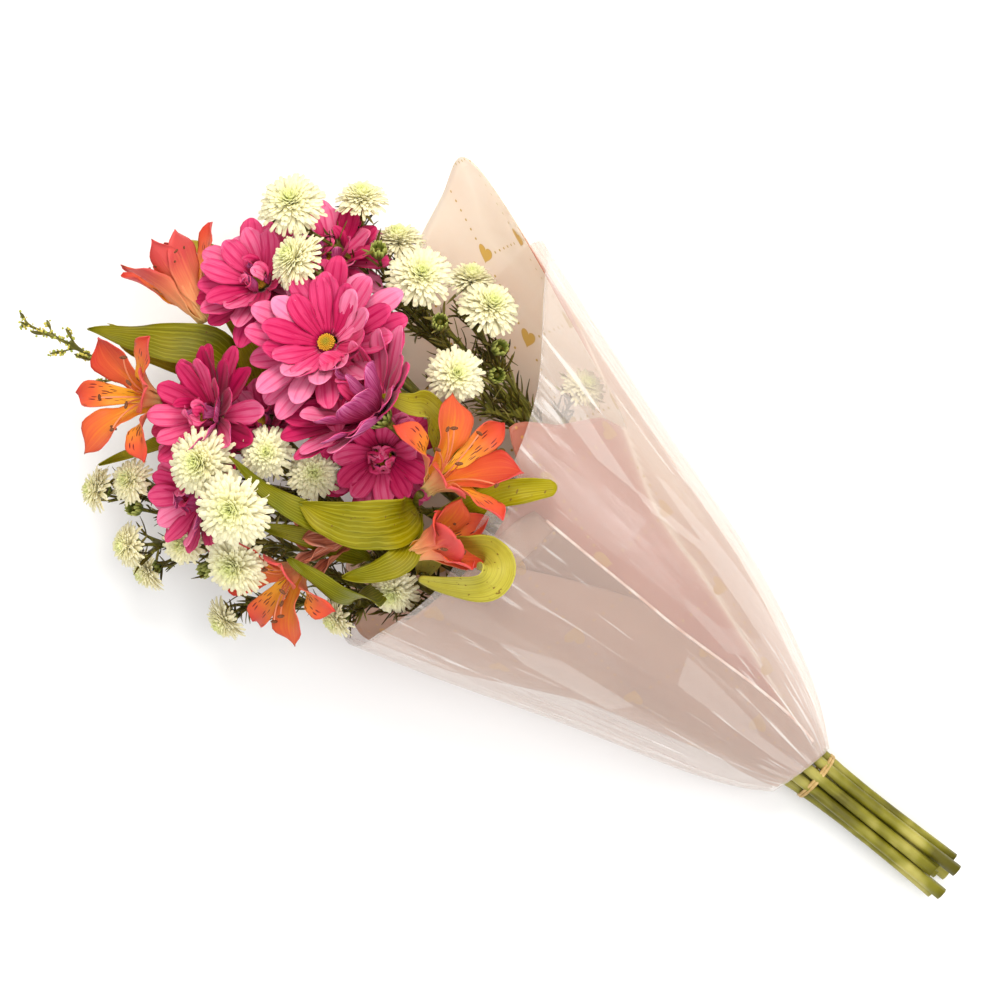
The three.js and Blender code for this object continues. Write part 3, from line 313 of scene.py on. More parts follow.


# ------------------------------------------------------------------ asters
# Small double asters, cream-white, with a tight green-yellow centre. Every head is a cushion of narrow
# florets round a green involucre, the outer ones flat and the inner ones upright.

# pale, given for some chrysanthemums, lightens or darkens all of a head's petals: painted light where it is
# above 0, painted shade where it is below 0
HEADS = {  # middle, where it faces, reach of its petals in mm, and its rays or how far it flares
    "chrysanthemum_1": dict(at=(-182, 10, 112), faces=(-0.5, 0.1, 0.85), reach=35, rays=9),
    "chrysanthemum_2": dict(at=(-166, 40, 96), faces=(-0.35, 0.5, 0.75), reach=33, rays=9),
    "chrysanthemum_3": dict(at=(-136, 8, 138), faces=(-0.4, 0.1, 0.9), reach=43, rays=11, pale=0.15),
    "chrysanthemum_4": dict(at=(-97, -2, 152), faces=(-0.8, -0.02, 0.6), reach=46, rays=10, closed=30),
    "chrysanthemum_5": dict(at=(-158, -54, 118), faces=(-0.6, -0.3, 0.7), reach=36, rays=10, pale=-0.2),
    "chrysanthemum_6": dict(at=(-140, -88, 90), faces=(-0.45, -0.6, 0.6), reach=33, rays=9),
    "chrysanthemum_7": dict(at=(-84, -15, 122), faces=(0.15, -0.2, 0.96), reach=33, rays=10, pale=-0.1),
    "chrysanthemum_8": dict(at=(-138, -40, 108), faces=(-0.55, 0, 0.8), reach=25, rays=7),
    "alstroemeria_1": dict(at=(-190, -24, 98), faces=(-0.9, 0.35, 0.15), reach=50, flare=34),
    "alstroemeria_2": dict(at=(-184, -64, 96), faces=(-0.62, -0.4, 0.68), reach=45, flare=80),
    "alstroemeria_3": dict(at=(-57, -17, 141), faces=(0.2, 0.75, 0.62), reach=50, flare=72),
    "alstroemeria_4": dict(at=(-44, -47, 138), faces=(0.36, 0.72, 0.6), reach=42, flare=50),
    "alstroemeria_5": dict(at=(-78, -78, 104), faces=(-0.2, -0.75, 0.55), reach=44, flare=80),
    "alstroemeria_faded": dict(at=(-68, -52, 116), faces=(-0.45, -0.7, 0.5), reach=32, flare=22),
}
ASTERS = [  # middle, where it faces, and reach
    ((-193, 48, 134), (-0.35, 0.25, 0.9), 15), ((-172, 30, 142), (-0.7, -0.1, 0.6), 14),
    ((-172, 72, 100), (-0.45, 0.6, 0.6), 12), ((-145, 68, 96), (-0.6, 0.6, 0.5), 12),
    ((-125, 61, 122), (-0.1, 0.35, 0.9), 15), ((-90, 71, 112), (-0.1, 0.55, 0.8), 14),
    ((-81, 36, 134), (0, 0.2, 0.98), 13), ((-30, 72, 84), (0, 0.7, 0.7), 11),
    ((-146, -73, 134), (-0.3, -0.25, 0.92), 16), ((-120, -79, 154), (-0.05, -0.2, 0.98), 17),
    ((-126, -50, 136), (-0.1, 0, 1), 12), ((-103, -44, 130), (0, 0.1, 1), 12),
    ((-104, -100, 124), (-0.1, -0.5, 0.85), 15), ((-183, -121, 68), (-0.75, -0.5, 0.4), 11),
    ((-173, -107, 74), (-0.5, -0.2, 0.8), 11), ((-154, -133, 58), (-0.6, -0.55, 0.55), 11),
    ((-141, -138, 36), (-0.4, -0.8, 0.3), 11), ((-133, -113, 80), (-0.2, -0.3, 0.9), 11),
    ((-94, -131, 46), (-0.2, -0.85, 0.45), 11), ((-38, -62, 106), (0.1, -0.5, 0.85), 12),
    ((-50, -92, 76), (-0.3, -0.8, 0.45), 10), ((-106, 76, 90), (-0.4, 0.75, 0.5), 12),
]
BUDS = [  # middle and where it faces
    ((-150, 60, 122), (-0.3, 0.5, 0.8)), ((-104, 52, 128), (-0.1, 0.3, 0.9)),
    ((-74, 62, 112), (0.2, 0.5, 0.8)), ((-66, 50, 120), (0.3, 0.2, 0.9)),
    ((-166, -118, 70), (-0.5, -0.3, 0.8)), ((-118, -120, 66), (-0.2, -0.8, 0.5)),
]
for number, (at, faces, reach) in enumerate(ASTERS, 1):
    HEADS[f"aster_{number}"] = dict(at=at, faces=faces, reach=reach)
for number, (at, faces) in enumerate(BUDS, 1):
    HEADS[f"bud_{number}"] = dict(at=at, faces=faces)

GOLDEN_ANGLE = math.radians(137.5)


def seeded(seed):
    """A seeded draw between two numbers, the same one that set the petals of the solids."""
    state = seed * 7919

    def draw(low, high):
        nonlocal state
        state = (state * 1664525 + 1013904223) % 4294967296
        return low + (high - low) * state / 4294967296

    return draw


def across(axis):
    """Two directions across an axis."""
    hint = Vector((0, 0, 1)) if abs(axis.z) < 0.9 else Vector((1, 0, 0))
    one = axis.cross(hint).normalized()
    return one, axis.cross(one).normalized()


for order, head in enumerate(HEADS.values()):
    head["at"] = Vector(head["at"])
    head["faces"] = Vector(head["faces"]).normalized()
    head["across"] = across(head["faces"])
    head["draw"] = seeded(order + 3)


def spoke_of(head, turn):
    """The direction outward across a head at a turn round it."""
    one, two = head["across"]
    return one * math.cos(turn) + two * math.sin(turn)


# Aster floret: thin matt petal tissue, cream, greener towards the middle of the head.
floret_cream, tree, shader = finish_of(
    "floret_cream", Roughness=0.6, IOR=1.38, Subsurface_Weight=0.15, Subsurface_Radius=(0.002, 0.002, 0.0015),
    Specular_IOR_Level=0.2,
)
tinted(
    tree, shader,
    [(0.0, "#D9DD92"), (0.12, "#E9E8AE"), (0.35, "#F2ECC0"), (0.7, "#F4EDC8"), (1.0, "#EFE6BC")],
)

# Involucre and bud scale: small waxy green bracts with paler tips.
bract_green, tree, shader = finish_of("bract_green", Roughness=0.5, IOR=1.42)
chart = add(tree, "SeparateXYZ", {}, {"Vector": add(tree, "UVMap")})
coloured(tree, shader, chart.outputs["Y"], [(0.0, "#3A4012"), (0.55, "#667022"), (1.0, "#AEB25A")])


def bracts(bm, head, count, rim, height, width, lean=0.25):
    """Two rings of scales that hug the green cup under a head."""
    for ring in range(2):
        for i in range(count):
            turn = 2 * math.pi * (i + 0.5 * ring) / count
            spoke = spoke_of(head, turn)
            foot = head["at"] - head["faces"] * height * (1 - 0.15 * ring) + spoke * rim * 0.45
            points = arc(foot, spoke, head["faces"], 0.95, lean - 0.15 * ring, height * 1.25, 3)
            blade(bm, points, head["faces"] - spoke * 0.3, lambda t: 1 - 0.8 * t ** 2, width, 2, cup=0.5)


for name in [n for n in HEADS if n.startswith("aster")]:
    head = HEADS[name]
    at, axis, reach, draw = head["at"], head["faces"], head["reach"], head["draw"]
    count = round(20 * reach + 40)
    bm = bmesh.new()
    for i in range(count):
        share = (i + 0.5) / count
        spoke = spoke_of(head, i * GOLDEN_ANGLE + draw(-0.2, 0.2))
        lean = math.radians(6 + 104 * share ** 0.75 + draw(-9, 9))
        length = reach * (0.56 + 0.42 * share) * draw(0.82, 1.1)
        foot = at + spoke * (0.2 * reach * share) + axis * reach * (0.34 - 0.2 * share)
        points = arc(foot, spoke, axis, lean * 0.75, lean * 1.1, length, 4, draw(-0.4, 0.4))
        blade(bm, points, axis - spoke * 0.4, lambda t: 0.55 + 0.95 * t - 0.7 * t ** 3, 0.1 * reach + 0.5, 2,
              cup=draw(0.2, 0.6), blunt=0.3, tint=share)
    new_piece(name + "_florets", bm, [floret_cream], [name], wall=0.2)
    bm = bmesh.new()
    bracts(bm, head, count=8, rim=3.6, height=4.5, width=2.4)
    new_piece(name + "_bracts", bm, [bract_green], wall=0.25)

bm = bmesh.new()
for name in [n for n in HEADS if n.startswith("bud")]:
    bracts(bm, HEADS[name], count=7, rim=3, height=7, width=2.6, lean=-0.35)
    bracts(bm, HEADS[name], count=6, rim=2.6, height=5, width=2.2, lean=-0.2)
new_piece("aster_bud_scales", bm, [bract_green], wall=0.3)


# ------------------------------------------------------------------ chrysanthemums
# Eight magenta spray chrysanthemums: broad blunt ray petals in four layers, grooved along their length,
# paler and dusty underneath, round a small domed disc of yellow florets.

OPEN_HEADS = ("chrysanthemum_3",)
RAY_RIBS = (0.3, 0.0, 0.3, -0.15, 0.2, -0.15, 0.3, 0.0, 0.3)
BENDS = [math.radians(angle) for angle in (0, 10, -10, 20, -20, 32, -32)]


def is_free(points, side, half):
    """Whether a petal along `points`, `half` mm wide to each side, runs clear of what is in place."""
    for way in (-0.7, 0, 0.7):
        line = [p + side * (half * way) for p in points[1:]]
        for start, end in zip(line, line[1:]):
            run = end - start
            if any(t.ray_cast(start, run, run.length)[0] is not None for t in placed):
                return False
    return True


def bent_clear(foot, spoke, axis, opening, closing, length, steps, width, sway=0.0):
    """The petal's arc, bent aside by as little as keeps it clear of its neighbours."""
    for bend in BENDS:
        points = arc(foot, spoke, axis, opening + bend / 2, closing + bend, length, steps, sway)
        if is_free(points, axis.cross(spoke), width / 2):
            return points
    return arc(foot, spoke, axis, opening, closing, length, steps, sway)


def lengthwise(tree, in_width, in_length, detail, bent=0.0):
    """Fine streaks along a petal or leaf, by how many fit its width and its length."""
    stretched = add(tree, "Mapping", {"Scale": (in_width, in_length, 1)}, {"Vector": add(tree, "UVMap")})
    return add(tree, "TexNoise", {"Scale": 1.0, "Detail": detail, "Distortion": bent}, {"Vector": stretched})


def stripes(tree, over, count, edge, strength):
    """`count` soft stripes, each as high as `strength` in its middle and 0 where its wave is under `edge`."""
    turns = add(tree, "Math", {1: count * 2 * math.pi}, {0: over}, operation="MULTIPLY")
    waves = add(tree, "Math", {}, {0: turns}, operation="COSINE")
    return add(tree, "MapRange", {1: edge, 2: 1.0, 3: 0.0, 4: strength}, {0: waves})


# Ray petal, upper side: velvety magenta tissue with 3 soft darker grooves, deeper coloured in its claw.
ray_magenta, tree, shader = finish_of(
    "ray_magenta", Roughness=0.5, IOR=1.38, Subsurface_Weight=0.12, Subsurface_Radius=(0.003, 0.001, 0.0015),
    Sheen_Weight=0.12, Sheen_Roughness=0.4, Specular_IOR_Level=0.25,
)
chart = add(tree, "SeparateXYZ", {}, {"Vector": add(tree, "UVMap")})
grooves = stripes(tree, chart.outputs["X"], 3, 0.2, -0.13)
fine = lengthwise(tree, 20, 2.5, 4.0)
veined = add(tree, "Math", {1: 0.4}, {0: fine, 2: grooves}, operation="MULTIPLY_ADD")
own = add(tree, "Attribute", attribute_name="tint").outputs["Fac"]
# tone and painted light: each petal's own random tint plus its head's pale (painted light above 0, painted
# shade below 0), with the veins added
tone_and_painted_light = add(tree, "Math", {1: 0.6}, {0: own, 2: veined}, operation="MULTIPLY_ADD")
outward = add(tree, "Math", {1: 0.22}, {0: chart.outputs["Y"], 2: tone_and_painted_light}, operation="MULTIPLY_ADD")
coloured(tree, shader, outward, [(0.1, "#8E0438"), (0.36, "#BE1654"), (0.58, "#DA4276"), (0.9, "#F08AAE")])
link(tree, shader, {"Normal": add(tree, "Bump", {"Strength": 0.5, "Distance": 0.0005}, {"Height": veined})})

# Ray petal, underside: the same tissue, dusty mauve, its veins showing through.
ray_under, tree, shader = finish_of(
    "ray_under", Roughness=0.6, IOR=1.38, Subsurface_Weight=0.12, Subsurface_Radius=(0.003, 0.0015, 0.002),
    Specular_IOR_Level=0.25,
)
fine = lengthwise(tree, 20, 1.6, 4.0)
coloured(tree, shader, fine, [(0.3, "#8C2258"), (0.5, "#B24C82"), (0.7, "#CB7AA2")])

# Disc floret: tiny waxy tubes, golden yellow, greener in the middle.
disc_yellow, tree, shader = finish_of("disc_yellow", Roughness=0.55, IOR=1.4)
tinted(tree, shader, [(0.0, "#A8A12C"), (0.4, "#D9A821"), (1.0, "#E8B93A")])


def ray_outline(t):
    """Width along a ray petal: a narrow claw, broad past the middle, blunt at its tip."""
    swell = min(1.0, t / 0.62)
    blunt = math.sqrt(1 - 0.66 * max(0, (t - 0.72) / 0.28) ** 2.4)
    return (0.4 + 0.6 * swell * swell * (3 - 2 * swell)) * blunt


def bead(bm, spot, radius, tint):
    """A tiny round floret or bud."""
    shade = bm.verts.layers.float.get("tint") or bm.verts.layers.float.new("tint")
    made = bmesh.ops.create_icosphere(bm, subdivisions=1, radius=radius, matrix=Matrix.Translation(spot))
    for vert in made["verts"]:
        vert[shade] = tint


def egg(bm, sides, high, radius, stretch, aim, middle):
    """A sphere of `sides` by `high` faces, scaled by `stretch`, its height turned towards `aim`."""
    made = bmesh.ops.create_uvsphere(bm, u_segments=sides, v_segments=high, radius=radius)["verts"]
    bmesh.ops.scale(bm, vec=stretch, verts=made)
    turned = Vector((0, 0, 1)).rotation_difference(aim).to_matrix()
    bmesh.ops.rotate(bm, cent=(0, 0, 0), matrix=turned, verts=made)
    bmesh.ops.translate(bm, vec=middle, verts=made)


DISC_CUP = 5.6  # mm from the middle of a head to the feet of its rays
DISC_RADIUS = 4.3
DISC_FLORETS = 110

for name in [n for n in HEADS if n.startswith("chrysanthemum")]:
    head = HEADS[name]
    at, axis, reach, draw, rays = head["at"], head["faces"], head["reach"], head["draw"], head["rays"]
    closed = head.get("closed", 0)
    width = 1.3 * (0.3 * 2 * math.pi * reach / rays + 2.4)
    start = draw(0, 1)
    inner = (56, 42, 0.72) if name in OPEN_HEADS else (16, -40, 0.6)  # the innermost close over the disc
    layers = [
        dict(count=rays + 1, lead=0, high=0.8, opening=86 - closed, closing=84 - closed, size=1.0),
        dict(count=rays, lead=0.5, high=2.6, opening=72 - closed / 2, closing=60 - closed / 2, size=0.95),
        dict(count=rays, lead=0.2, high=3.8, opening=58 - closed / 2, closing=34 - closed / 2, size=0.84),
        dict(count=rays - 2, lead=0.7, high=4.4, opening=inner[0], closing=inner[1], size=inner[2]),
    ]
    bm = bmesh.new()
    for layer in layers:
        spread = layer["closing"] > 0
        loose = 0.06 if spread else 0.35
        broad = 0.6 + 0.4 * layer["size"] if spread else 0.5
        for i in range(layer["count"]):
            turn = start + 2 * math.pi * (i + 0.5 + layer["lead"]) / layer["count"] + draw(-loose, loose)
            spoke = spoke_of(head, turn)
            length = (reach - DISC_CUP) * layer["size"] * draw(0.96 - loose, 1.05 + loose / 2)
            tilt = draw(-9 - 30 * loose, 7 + 40 * loose)
            foot = at + spoke * (DISC_CUP * 0.95) + axis * layer["high"]
            points = bent_clear(
                foot, spoke, axis, math.radians(layer["opening"]), math.radians(layer["closing"] + tilt),
                length, 10, width * 0.8, sway=draw(-0.3, 0.3),
            )
            # the tint adds the head's pale: painted light above 0, painted shade below 0
            blade(bm, points, axis - spoke * 0.3, ray_outline, width * broad, 8,
                  cup=draw(0.1, 0.34), ribs=RAY_RIBS, blunt=0.17, ruffle=0.6,
                  tint=draw(0, 0.8) + head.get("pale", 0))
    placed.append(BVHTree.FromBMesh(bm))
    petals = new_piece(
        name + "_rays", bm, [ray_magenta, ray_under], [name], wall=0.35, under=1
    )
    petals.modifiers["Wall"].material_offset_rim = 0

    bm = bmesh.new()
    for i in range(DISC_FLORETS):
        share = (i + 0.5) / DISC_FLORETS
        out = DISC_RADIUS * math.sqrt(share)
        spot = at + spoke_of(head, i * GOLDEN_ANGLE) * out + axis * (5.2 + 2 * math.sqrt(1 - share * 0.9))
        bead(bm, spot, 0.42, share)
    egg(bm, 16, 8, 4.2, (1, 1, 0.5), axis, at + axis * 4.8)  # the bed that they stand on
    disc = name.replace("chrysanthemum", "chrysanthemum_disc")
    new_piece(disc + "_florets", bm, [disc_yellow], [disc])

    bm = bmesh.new()
    bracts(bm, head, count=11, rim=DISC_CUP, height=7, width=3.4)
    new_piece(name + "_bracts", bm, [bract_green], wall=0.3)


# ------------------------------------------------------------------ strap leaves
# The alstroemerias' broad leaves twist as they leave the stem. They are glossy, veined in parallel, and
# some have gone lime or yellow with brown flecks.

LEAVES = [
    dict(
        stem="left", width=21, face=(0.2, 0.5, 0.8), tint=0.44,
        through=[(-150, -38, 82), (-178, -30, 104), (-205, -44, 108), (-236, -62, 98)],
    ),
    dict(
        stem="left", width=17, face=(0, -0.3, 0.9), tint=0.66,
        through=[(-148, -38, 82), (-186, -42, 90), (-214, -52, 90), (-232, -54, 82)],
    ),
    dict(
        stem="left", width=11, face=(-0.2, 0.4, 0.9), tint=0.88,
        through=[(-146, -36, 80), (-190, 0, 84), (-214, 6, 88), (-236, -2, 84)],
    ),
    dict(
        stem="left", width=17, face=(0.3, 0.4, 0.8), tint=0.7,
        through=[(-144, -36, 80), (-172, -18, 104), (-188, -12, 114)],
    ),
    dict(
        stem="left", width=8, face=(-0.3, -0.4, 0.8), tint=0.55,
        through=[(-150, -40, 82), (-176, -84, 78), (-192, -112, 72)],
    ),
    dict(
        stem="front", width=19, face=(0.1, 0.4, 0.85), tint=0.82,
        through=[(-60, 8, 104), (-76, 14, 142), (-88, 11, 159), (-101, 6, 160)],
    ),
    dict(
        stem="front", width=14, face=(0.3, 0.1, 0.9), tint=0.72, tip=0.8,
        through=[(-46, -26, 116), (-38, -13, 140), (-26, 9, 155), (-9.5, 26.5, 152)],
    ),
    dict(
        stem="front", width=25, face=(0, -0.3, 0.9), tint=0.56,
        through=[(-48, -24, 132), (-58, -36, 151), (-75, -51, 158), (-98, -58, 154)],
    ),
    dict(
        stem="front", width=14, face=(-0.2, -0.2, 0.9), tint=0.5,
        through=[(-46, -30, 130), (-44, -44, 148), (-49, -59, 151), (-60, -72, 146)],
    ),
    dict(
        stem="low", width=18, face=(0.3, -0.1, 0.92), tint=0.94, tip=0.3, rows=80,
        through=[
            (-32, -48, 92), (-34, -36, 126), (-19, -21, 152), (-11.5, -19, 160), (-6.5, -22, 165),
            (-5, -28, 166), (-7.5, -33.5, 164), (-13, -38.8, 160), (-22.2, -44.9, 153), (-31.7, -50, 146),
        ],
    ),
    dict(
        stem="low", width=13, face=(0.1, 0.3, 0.9), tint=0.36,
        through=[(-50, -50, 100), (-82, -57, 146), (-109, -63, 158), (-137, -62, 163)],
    ),
    dict(
        stem="low", width=14, face=(-0.1, -0.5, 0.8), tint=0.36,
        through=[(-36, -66, 96), (-48, -76, 130), (-65, -81, 140), (-86, -82, 137)],
    ),
    dict(
        stem="low", width=12, face=(-0.1, -0.1, 0.9), tint=0.45,
        through=[(-56, -58, 100), (-79, -66, 126), (-94, -73, 133), (-108, -80, 134)],
    ),
]


def smooth_point(p0, p1, p2, p3, t):
    """A point of the smooth curve through p1 and p2, a share `t` of the way between them."""
    return 0.5 * (2 * p1 + (p2 - p0) * t + (2 * p0 - 5 * p1 + 4 * p2 - p3) * t * t
                  + (3 * p1 - p0 - 3 * p2 + p3) * t ** 3)


def curve_through(points, count):
    """`count` + 1 evenly spaced points on a smooth curve through `points`."""
    ends = [2 * points[0] - points[1], *points, 2 * points[-1] - points[-2]]
    line = []
    for four in zip(ends, ends[1:], ends[2:], ends[3:]):
        line += [smooth_point(*four, i / 16) for i in range(16)]
    line.append(points[-1])
    lengths = [0.0]
    for a, b in zip(line, line[1:]):
        lengths.append(lengths[-1] + (b - a).length)
    spaced = []
    for i in range(count + 1):
        goal = lengths[-1] * i / count
        k = min(sum(1 for reached in lengths if reached < goal), len(line) - 1)
        share = (goal - lengths[k - 1]) / (lengths[k] - lengths[k - 1]) if k else 0.0
        spaced.append(line[k - 1].lerp(line[k], share) if k else line[0])
    return spaced


# Strap leaf: smooth waxy cuticle with a soft gloss, paler veins about 2 mm apart along it. Young leaves
# are deep green, old ones lime to straw with brown flecks.
strap_green, tree, shader = finish_of(
    "strap_green", Roughness=0.42, IOR=1.42, Subsurface_Weight=0.06, Subsurface_Radius=(0.002, 0.003, 0.0005),
    Specular_IOR_Level=0.18,
)
place = add(tree, "TexCoord").outputs["Object"]
own = add(tree, "Attribute", attribute_name="tint").outputs["Fac"]
chart = add(tree, "SeparateXYZ", {}, {"Vector": add(tree, "UVMap")})
fine = lengthwise(tree, 34, 1.6, 2.0, 0.4)
patches = add(tree, "TexNoise", {"Scale": 55.0, "Detail": 3.0}, {"Vector": place})
blend = add(tree, "Math", {1: 0.45}, {0: patches, 2: own}, operation="MULTIPLY_ADD")
aged = add(tree, "Math", {1: -0.22}, {0: blend}, operation="ADD")
tone = add(
    tree, "ValToRGB", {}, {"Fac": aged},
    [(0.0, "#7E883C"), (0.2, "#4C5A00"), (0.5, "#7E7600"), (0.75, "#A29200"), (1.0, "#BAAE44")],
)
veins = add(tree, "ValToRGB", {}, {"Fac": fine}, [(0.35, "#A4A4A4"), (0.5, "#FFFFFF"), (0.65, "#C4C4C4")])
lined = add(tree, "Mix", {0: 0.6}, {6: tone, 7: veins}, data_type="RGBA", blend_type="MULTIPLY")
uneven = add(tree, "Math", {1: 0.22}, {0: patches, 2: chart.outputs["X"]}, operation="MULTIPLY_ADD")
pale = stripes(tree, uneven, 9, 0.3, 0.2)
lined = add(tree, "Mix", {7: srgb("#C2BE44")}, {0: pale, 6: lined.outputs[2]}, data_type="RGBA")
specks = add(tree, "TexNoise", {"Scale": 420.0, "Detail": 1.0}, {"Vector": place})
spotty = add(tree, "Math", {1: 0.12}, {0: own, 2: specks}, operation="MULTIPLY_ADD")
flecked = add(tree, "MapRange", {1: 0.8, 2: 0.84, 3: 0.0, 4: 0.8}, {0: spotty})
brown = add(tree, "Mix", {7: srgb("#6B4A1C")}, {0: flecked, 6: lined.outputs[2]}, data_type="RGBA")
relief = add(tree, "Bump", {"Strength": 0.35, "Distance": 0.0004}, {"Height": fine})
link(tree, shader, {"Base Color": brown.outputs[2], "Normal": relief})


def leaf_outline(t, tip):
    """Width along a strap leaf; `tip` is how blunt its end is, from 0 to 1."""
    return 0.02 + 0.1 * (1 - t) + 0.88 * math.sin(math.pi * (0.06 + 0.939 * t * (1 - 0.2 * tip))) ** 0.8


for number, leaf in enumerate(LEAVES, 1):
    name = f"leaf_{number}"
    luck = random.Random(name)
    points = [Vector(p) for p in leaf["through"]]
    points[0] = stem_trees["alstroemeria_stem_" + leaf["stem"]].find_nearest(points[0])[0]
    centres = curve_through(points, leaf.get("rows", 32))
    bm = bmesh.new()
    ribs = [luck.uniform(0.0, 0.2) * (-1) ** k for k in range(15)]
    tip = leaf.get("tip", 0.0)
    blade(bm, centres, Vector(leaf["face"]).normalized(), lambda t: leaf_outline(t, tip),
          leaf["width"] * 1.05, 14, cup=0.2, ribs=ribs, blunt=0.25 * tip, ruffle=2.2, tint=leaf["tint"])
    placed.append(BVHTree.FromBMesh(bm))
    new_piece(name, bm, [strap_green], wall=0.4)


# ------------------------------------------------------------------ alstroemerias
# Orange-red alstroemerias: three broad outer tepals over three narrow inner ones that are yellow in the
# throat and dashed with maroon, six curved stamens with brown anthers, and one flower that has faded.

# Outer tepal: satin petal tissue, coral to orange-red with fine darker streaks, through orange to a pale
# claw, with a brown point. No two tepals have the same red.
tepal_coral, tree, shader = finish_of(
    "tepal_coral", Roughness=0.45, IOR=1.38, Specular_IOR_Level=0.25,
    Subsurface_Weight=0.15, Subsurface_Radius=(0.003, 0.0015, 0.0006),
)
chart = add(tree, "SeparateXYZ", {}, {"Vector": add(tree, "UVMap")})
middle = add(tree, "Math", {1: 0.5}, {0: chart.outputs["X"]}, operation="SUBTRACT")
edge = add(tree, "Math", {}, {0: middle}, operation="ABSOLUTE")
fine = lengthwise(tree, 20, 1.6, 3.0)
own = add(tree, "Attribute", attribute_name="tint").outputs["Fac"]
redder = add(tree, "Math", {1: 0.6}, {0: edge, 2: chart.outputs["Y"]}, operation="MULTIPLY_ADD")
streaked = add(tree, "Math", {1: 0.7}, {0: fine, 2: redder}, operation="MULTIPLY_ADD")
varied = add(tree, "Math", {1: 0.5}, {0: own, 2: streaked}, operation="MULTIPLY_ADD")
scaled = add(tree, "MapRange", {1: 0.35, 2: 1.85, 3: 0.0, 4: 1.0}, {0: varied})
tone = add(
    tree, "ValToRGB", {}, {"Fac": scaled},
    [(0.06, "#F0D8A0"), (0.2, "#E8AA3C"), (0.4, "#DA8028"), (0.64, "#D05C32"), (0.95, "#BC3828")],
)
point = add(tree, "MapRange", {1: 0.965, 2: 1.0, 3: 0.0, 4: 0.8}, {0: chart.outputs["Y"]})
tipped = add(tree, "Mix", {7: srgb("#6E3A22")}, {0: point, 6: tone}, data_type="RGBA")
relief = add(tree, "Bump", {"Strength": 0.4, "Distance": 0.0004}, {"Height": fine})
link(tree, shader, {"Base Color": tipped.outputs[2], "Normal": relief})

# Tepal, underside: the same tissue, a paler salmon pink with a greenish rib towards the claw.
tepal_under, tree, shader = finish_of(
    "tepal_under", Roughness=0.5, IOR=1.38, Subsurface_Weight=0.15, Subsurface_Radius=(0.003, 0.0015, 0.0008),
    Specular_IOR_Level=0.25,
)
chart = add(tree, "SeparateXYZ", {}, {"Vector": add(tree, "UVMap")})
fine = lengthwise(tree, 20, 1.6, 3.0)
along = add(tree, "Math", {1: 0.5}, {0: fine, 2: chart.outputs["Y"]}, operation="MULTIPLY_ADD")
coloured(tree, shader, along, [(0.2, "#DCC47C"), (0.45, "#E6A068"), (0.75, "#E07A56"), (1.0, "#D0504C")])

# Inner tepal: the same tissue, yellow with dark maroon dashes along it and a red tip.
tepal_dashed, tree, shader = finish_of(
    "tepal_dashed", Roughness=0.45, IOR=1.38, Specular_IOR_Level=0.3,
    Subsurface_Weight=0.15, Subsurface_Radius=(0.003, 0.002, 0.0006),
)
flat = add(tree, "UVMap")
chart = add(tree, "SeparateXYZ", {}, {"Vector": flat})
tone = add(
    tree, "ValToRGB", {}, {"Fac": chart.outputs["Y"]},
    [(0.0, "#F0DCA0"), (0.22, "#EBB228"), (0.52, "#E8912C"), (0.74, "#DC5E34"), (1.0, "#C8382E")],
)
stretched = add(tree, "Mapping", {"Scale": (14, 7, 1)}, {"Vector": flat})
dashes = add(tree, "TexVoronoi", {"Scale": 1.0, "Randomness": 0.75}, {"Vector": stretched})
flecked = add(tree, "MapRange", {1: 0.38, 2: 0.3, 3: 0.0, 4: 0.92}, {0: dashes})
inside = add(tree, "MapRange", {1: 0.85, 2: 0.75, 3: 0.0, 4: 1.0}, {0: chart.outputs["Y"]})
masked = add(tree, "Math", {}, {0: flecked, 1: inside}, operation="MULTIPLY")
dashed = add(tree, "Mix", {7: srgb("#571420")}, {0: masked, 6: tone}, data_type="RGBA")
link(tree, shader, {"Base Color": dashed.outputs[2]})


def grained(tree, shader, scale, detail, colours):
    """Colours a surface by an even grain, `scale` of its patches to the metre."""
    place = add(tree, "TexCoord").outputs["Object"]
    grain = add(tree, "TexNoise", {"Scale": scale, "Detail": detail}, {"Vector": place})
    coloured(tree, shader, grain, colours)


# Filament: smooth pale pink tissue. Anther: dry brown pollen sac, its grain 0.4 mm wide.
filament_pink, tree, shader = finish_of("filament_pink", Roughness=0.4, IOR=1.4)
shader.inputs["Base Color"].default_value = srgb("#E58E66")
anther_brown, tree, shader = finish_of("anther_brown", Roughness=0.8, IOR=1.4)
grained(tree, shader, 2500.0, 2.0, [(0.35, "#4A2414"), (0.65, "#8A5530")])

# Faded tepal: the tissue has gone limp, dry and brownish at its edges.
tepal_faded, tree, shader = finish_of("tepal_faded", Roughness=0.65, IOR=1.38)
coloured(
    tree, shader, lengthwise(tree, 9, 2, 4.0),
    [(0.3, "#7C4030"), (0.5, "#C26A4A"), (0.7, "#D79A86")],
)

TEPAL_FOLD = (0.3, 0.1, 0.2, -0.1, 0.1, -0.5, -0.9, -0.5, 0.1, -0.1, 0.2, 0.1, 0.3)  # mm, along its rib


def tepal_outline(t):
    """Width along a tepal: a narrow claw, broad past the middle, drawn in to a point."""
    return (0.26 + 0.74 * math.sin(0.72 * math.pi * t ** 1.6)) * (1 - 0.92 * max(0, (t - 0.7) / 0.3) ** 2.2)


def filament(bm, points, radius):
    """A round thread along `points`, its seam closed."""
    made = bmesh.ops.create_grid(bm, x_segments=6, y_segments=len(points) - 1, size=1)["verts"]
    for vert in made:
        i = round((vert.co.y + 1) / 2 * (len(points) - 1))
        ahead = (points[min(i + 1, len(points) - 1)] - points[max(i - 1, 0)]).normalized()
        one, two = across(ahead)
        turn = math.pi * vert.co.x
        vert.co = points[i] + radius * (one * math.cos(turn) - two * math.sin(turn))
    bmesh.ops.remove_doubles(bm, verts=made, dist=radius / 20)


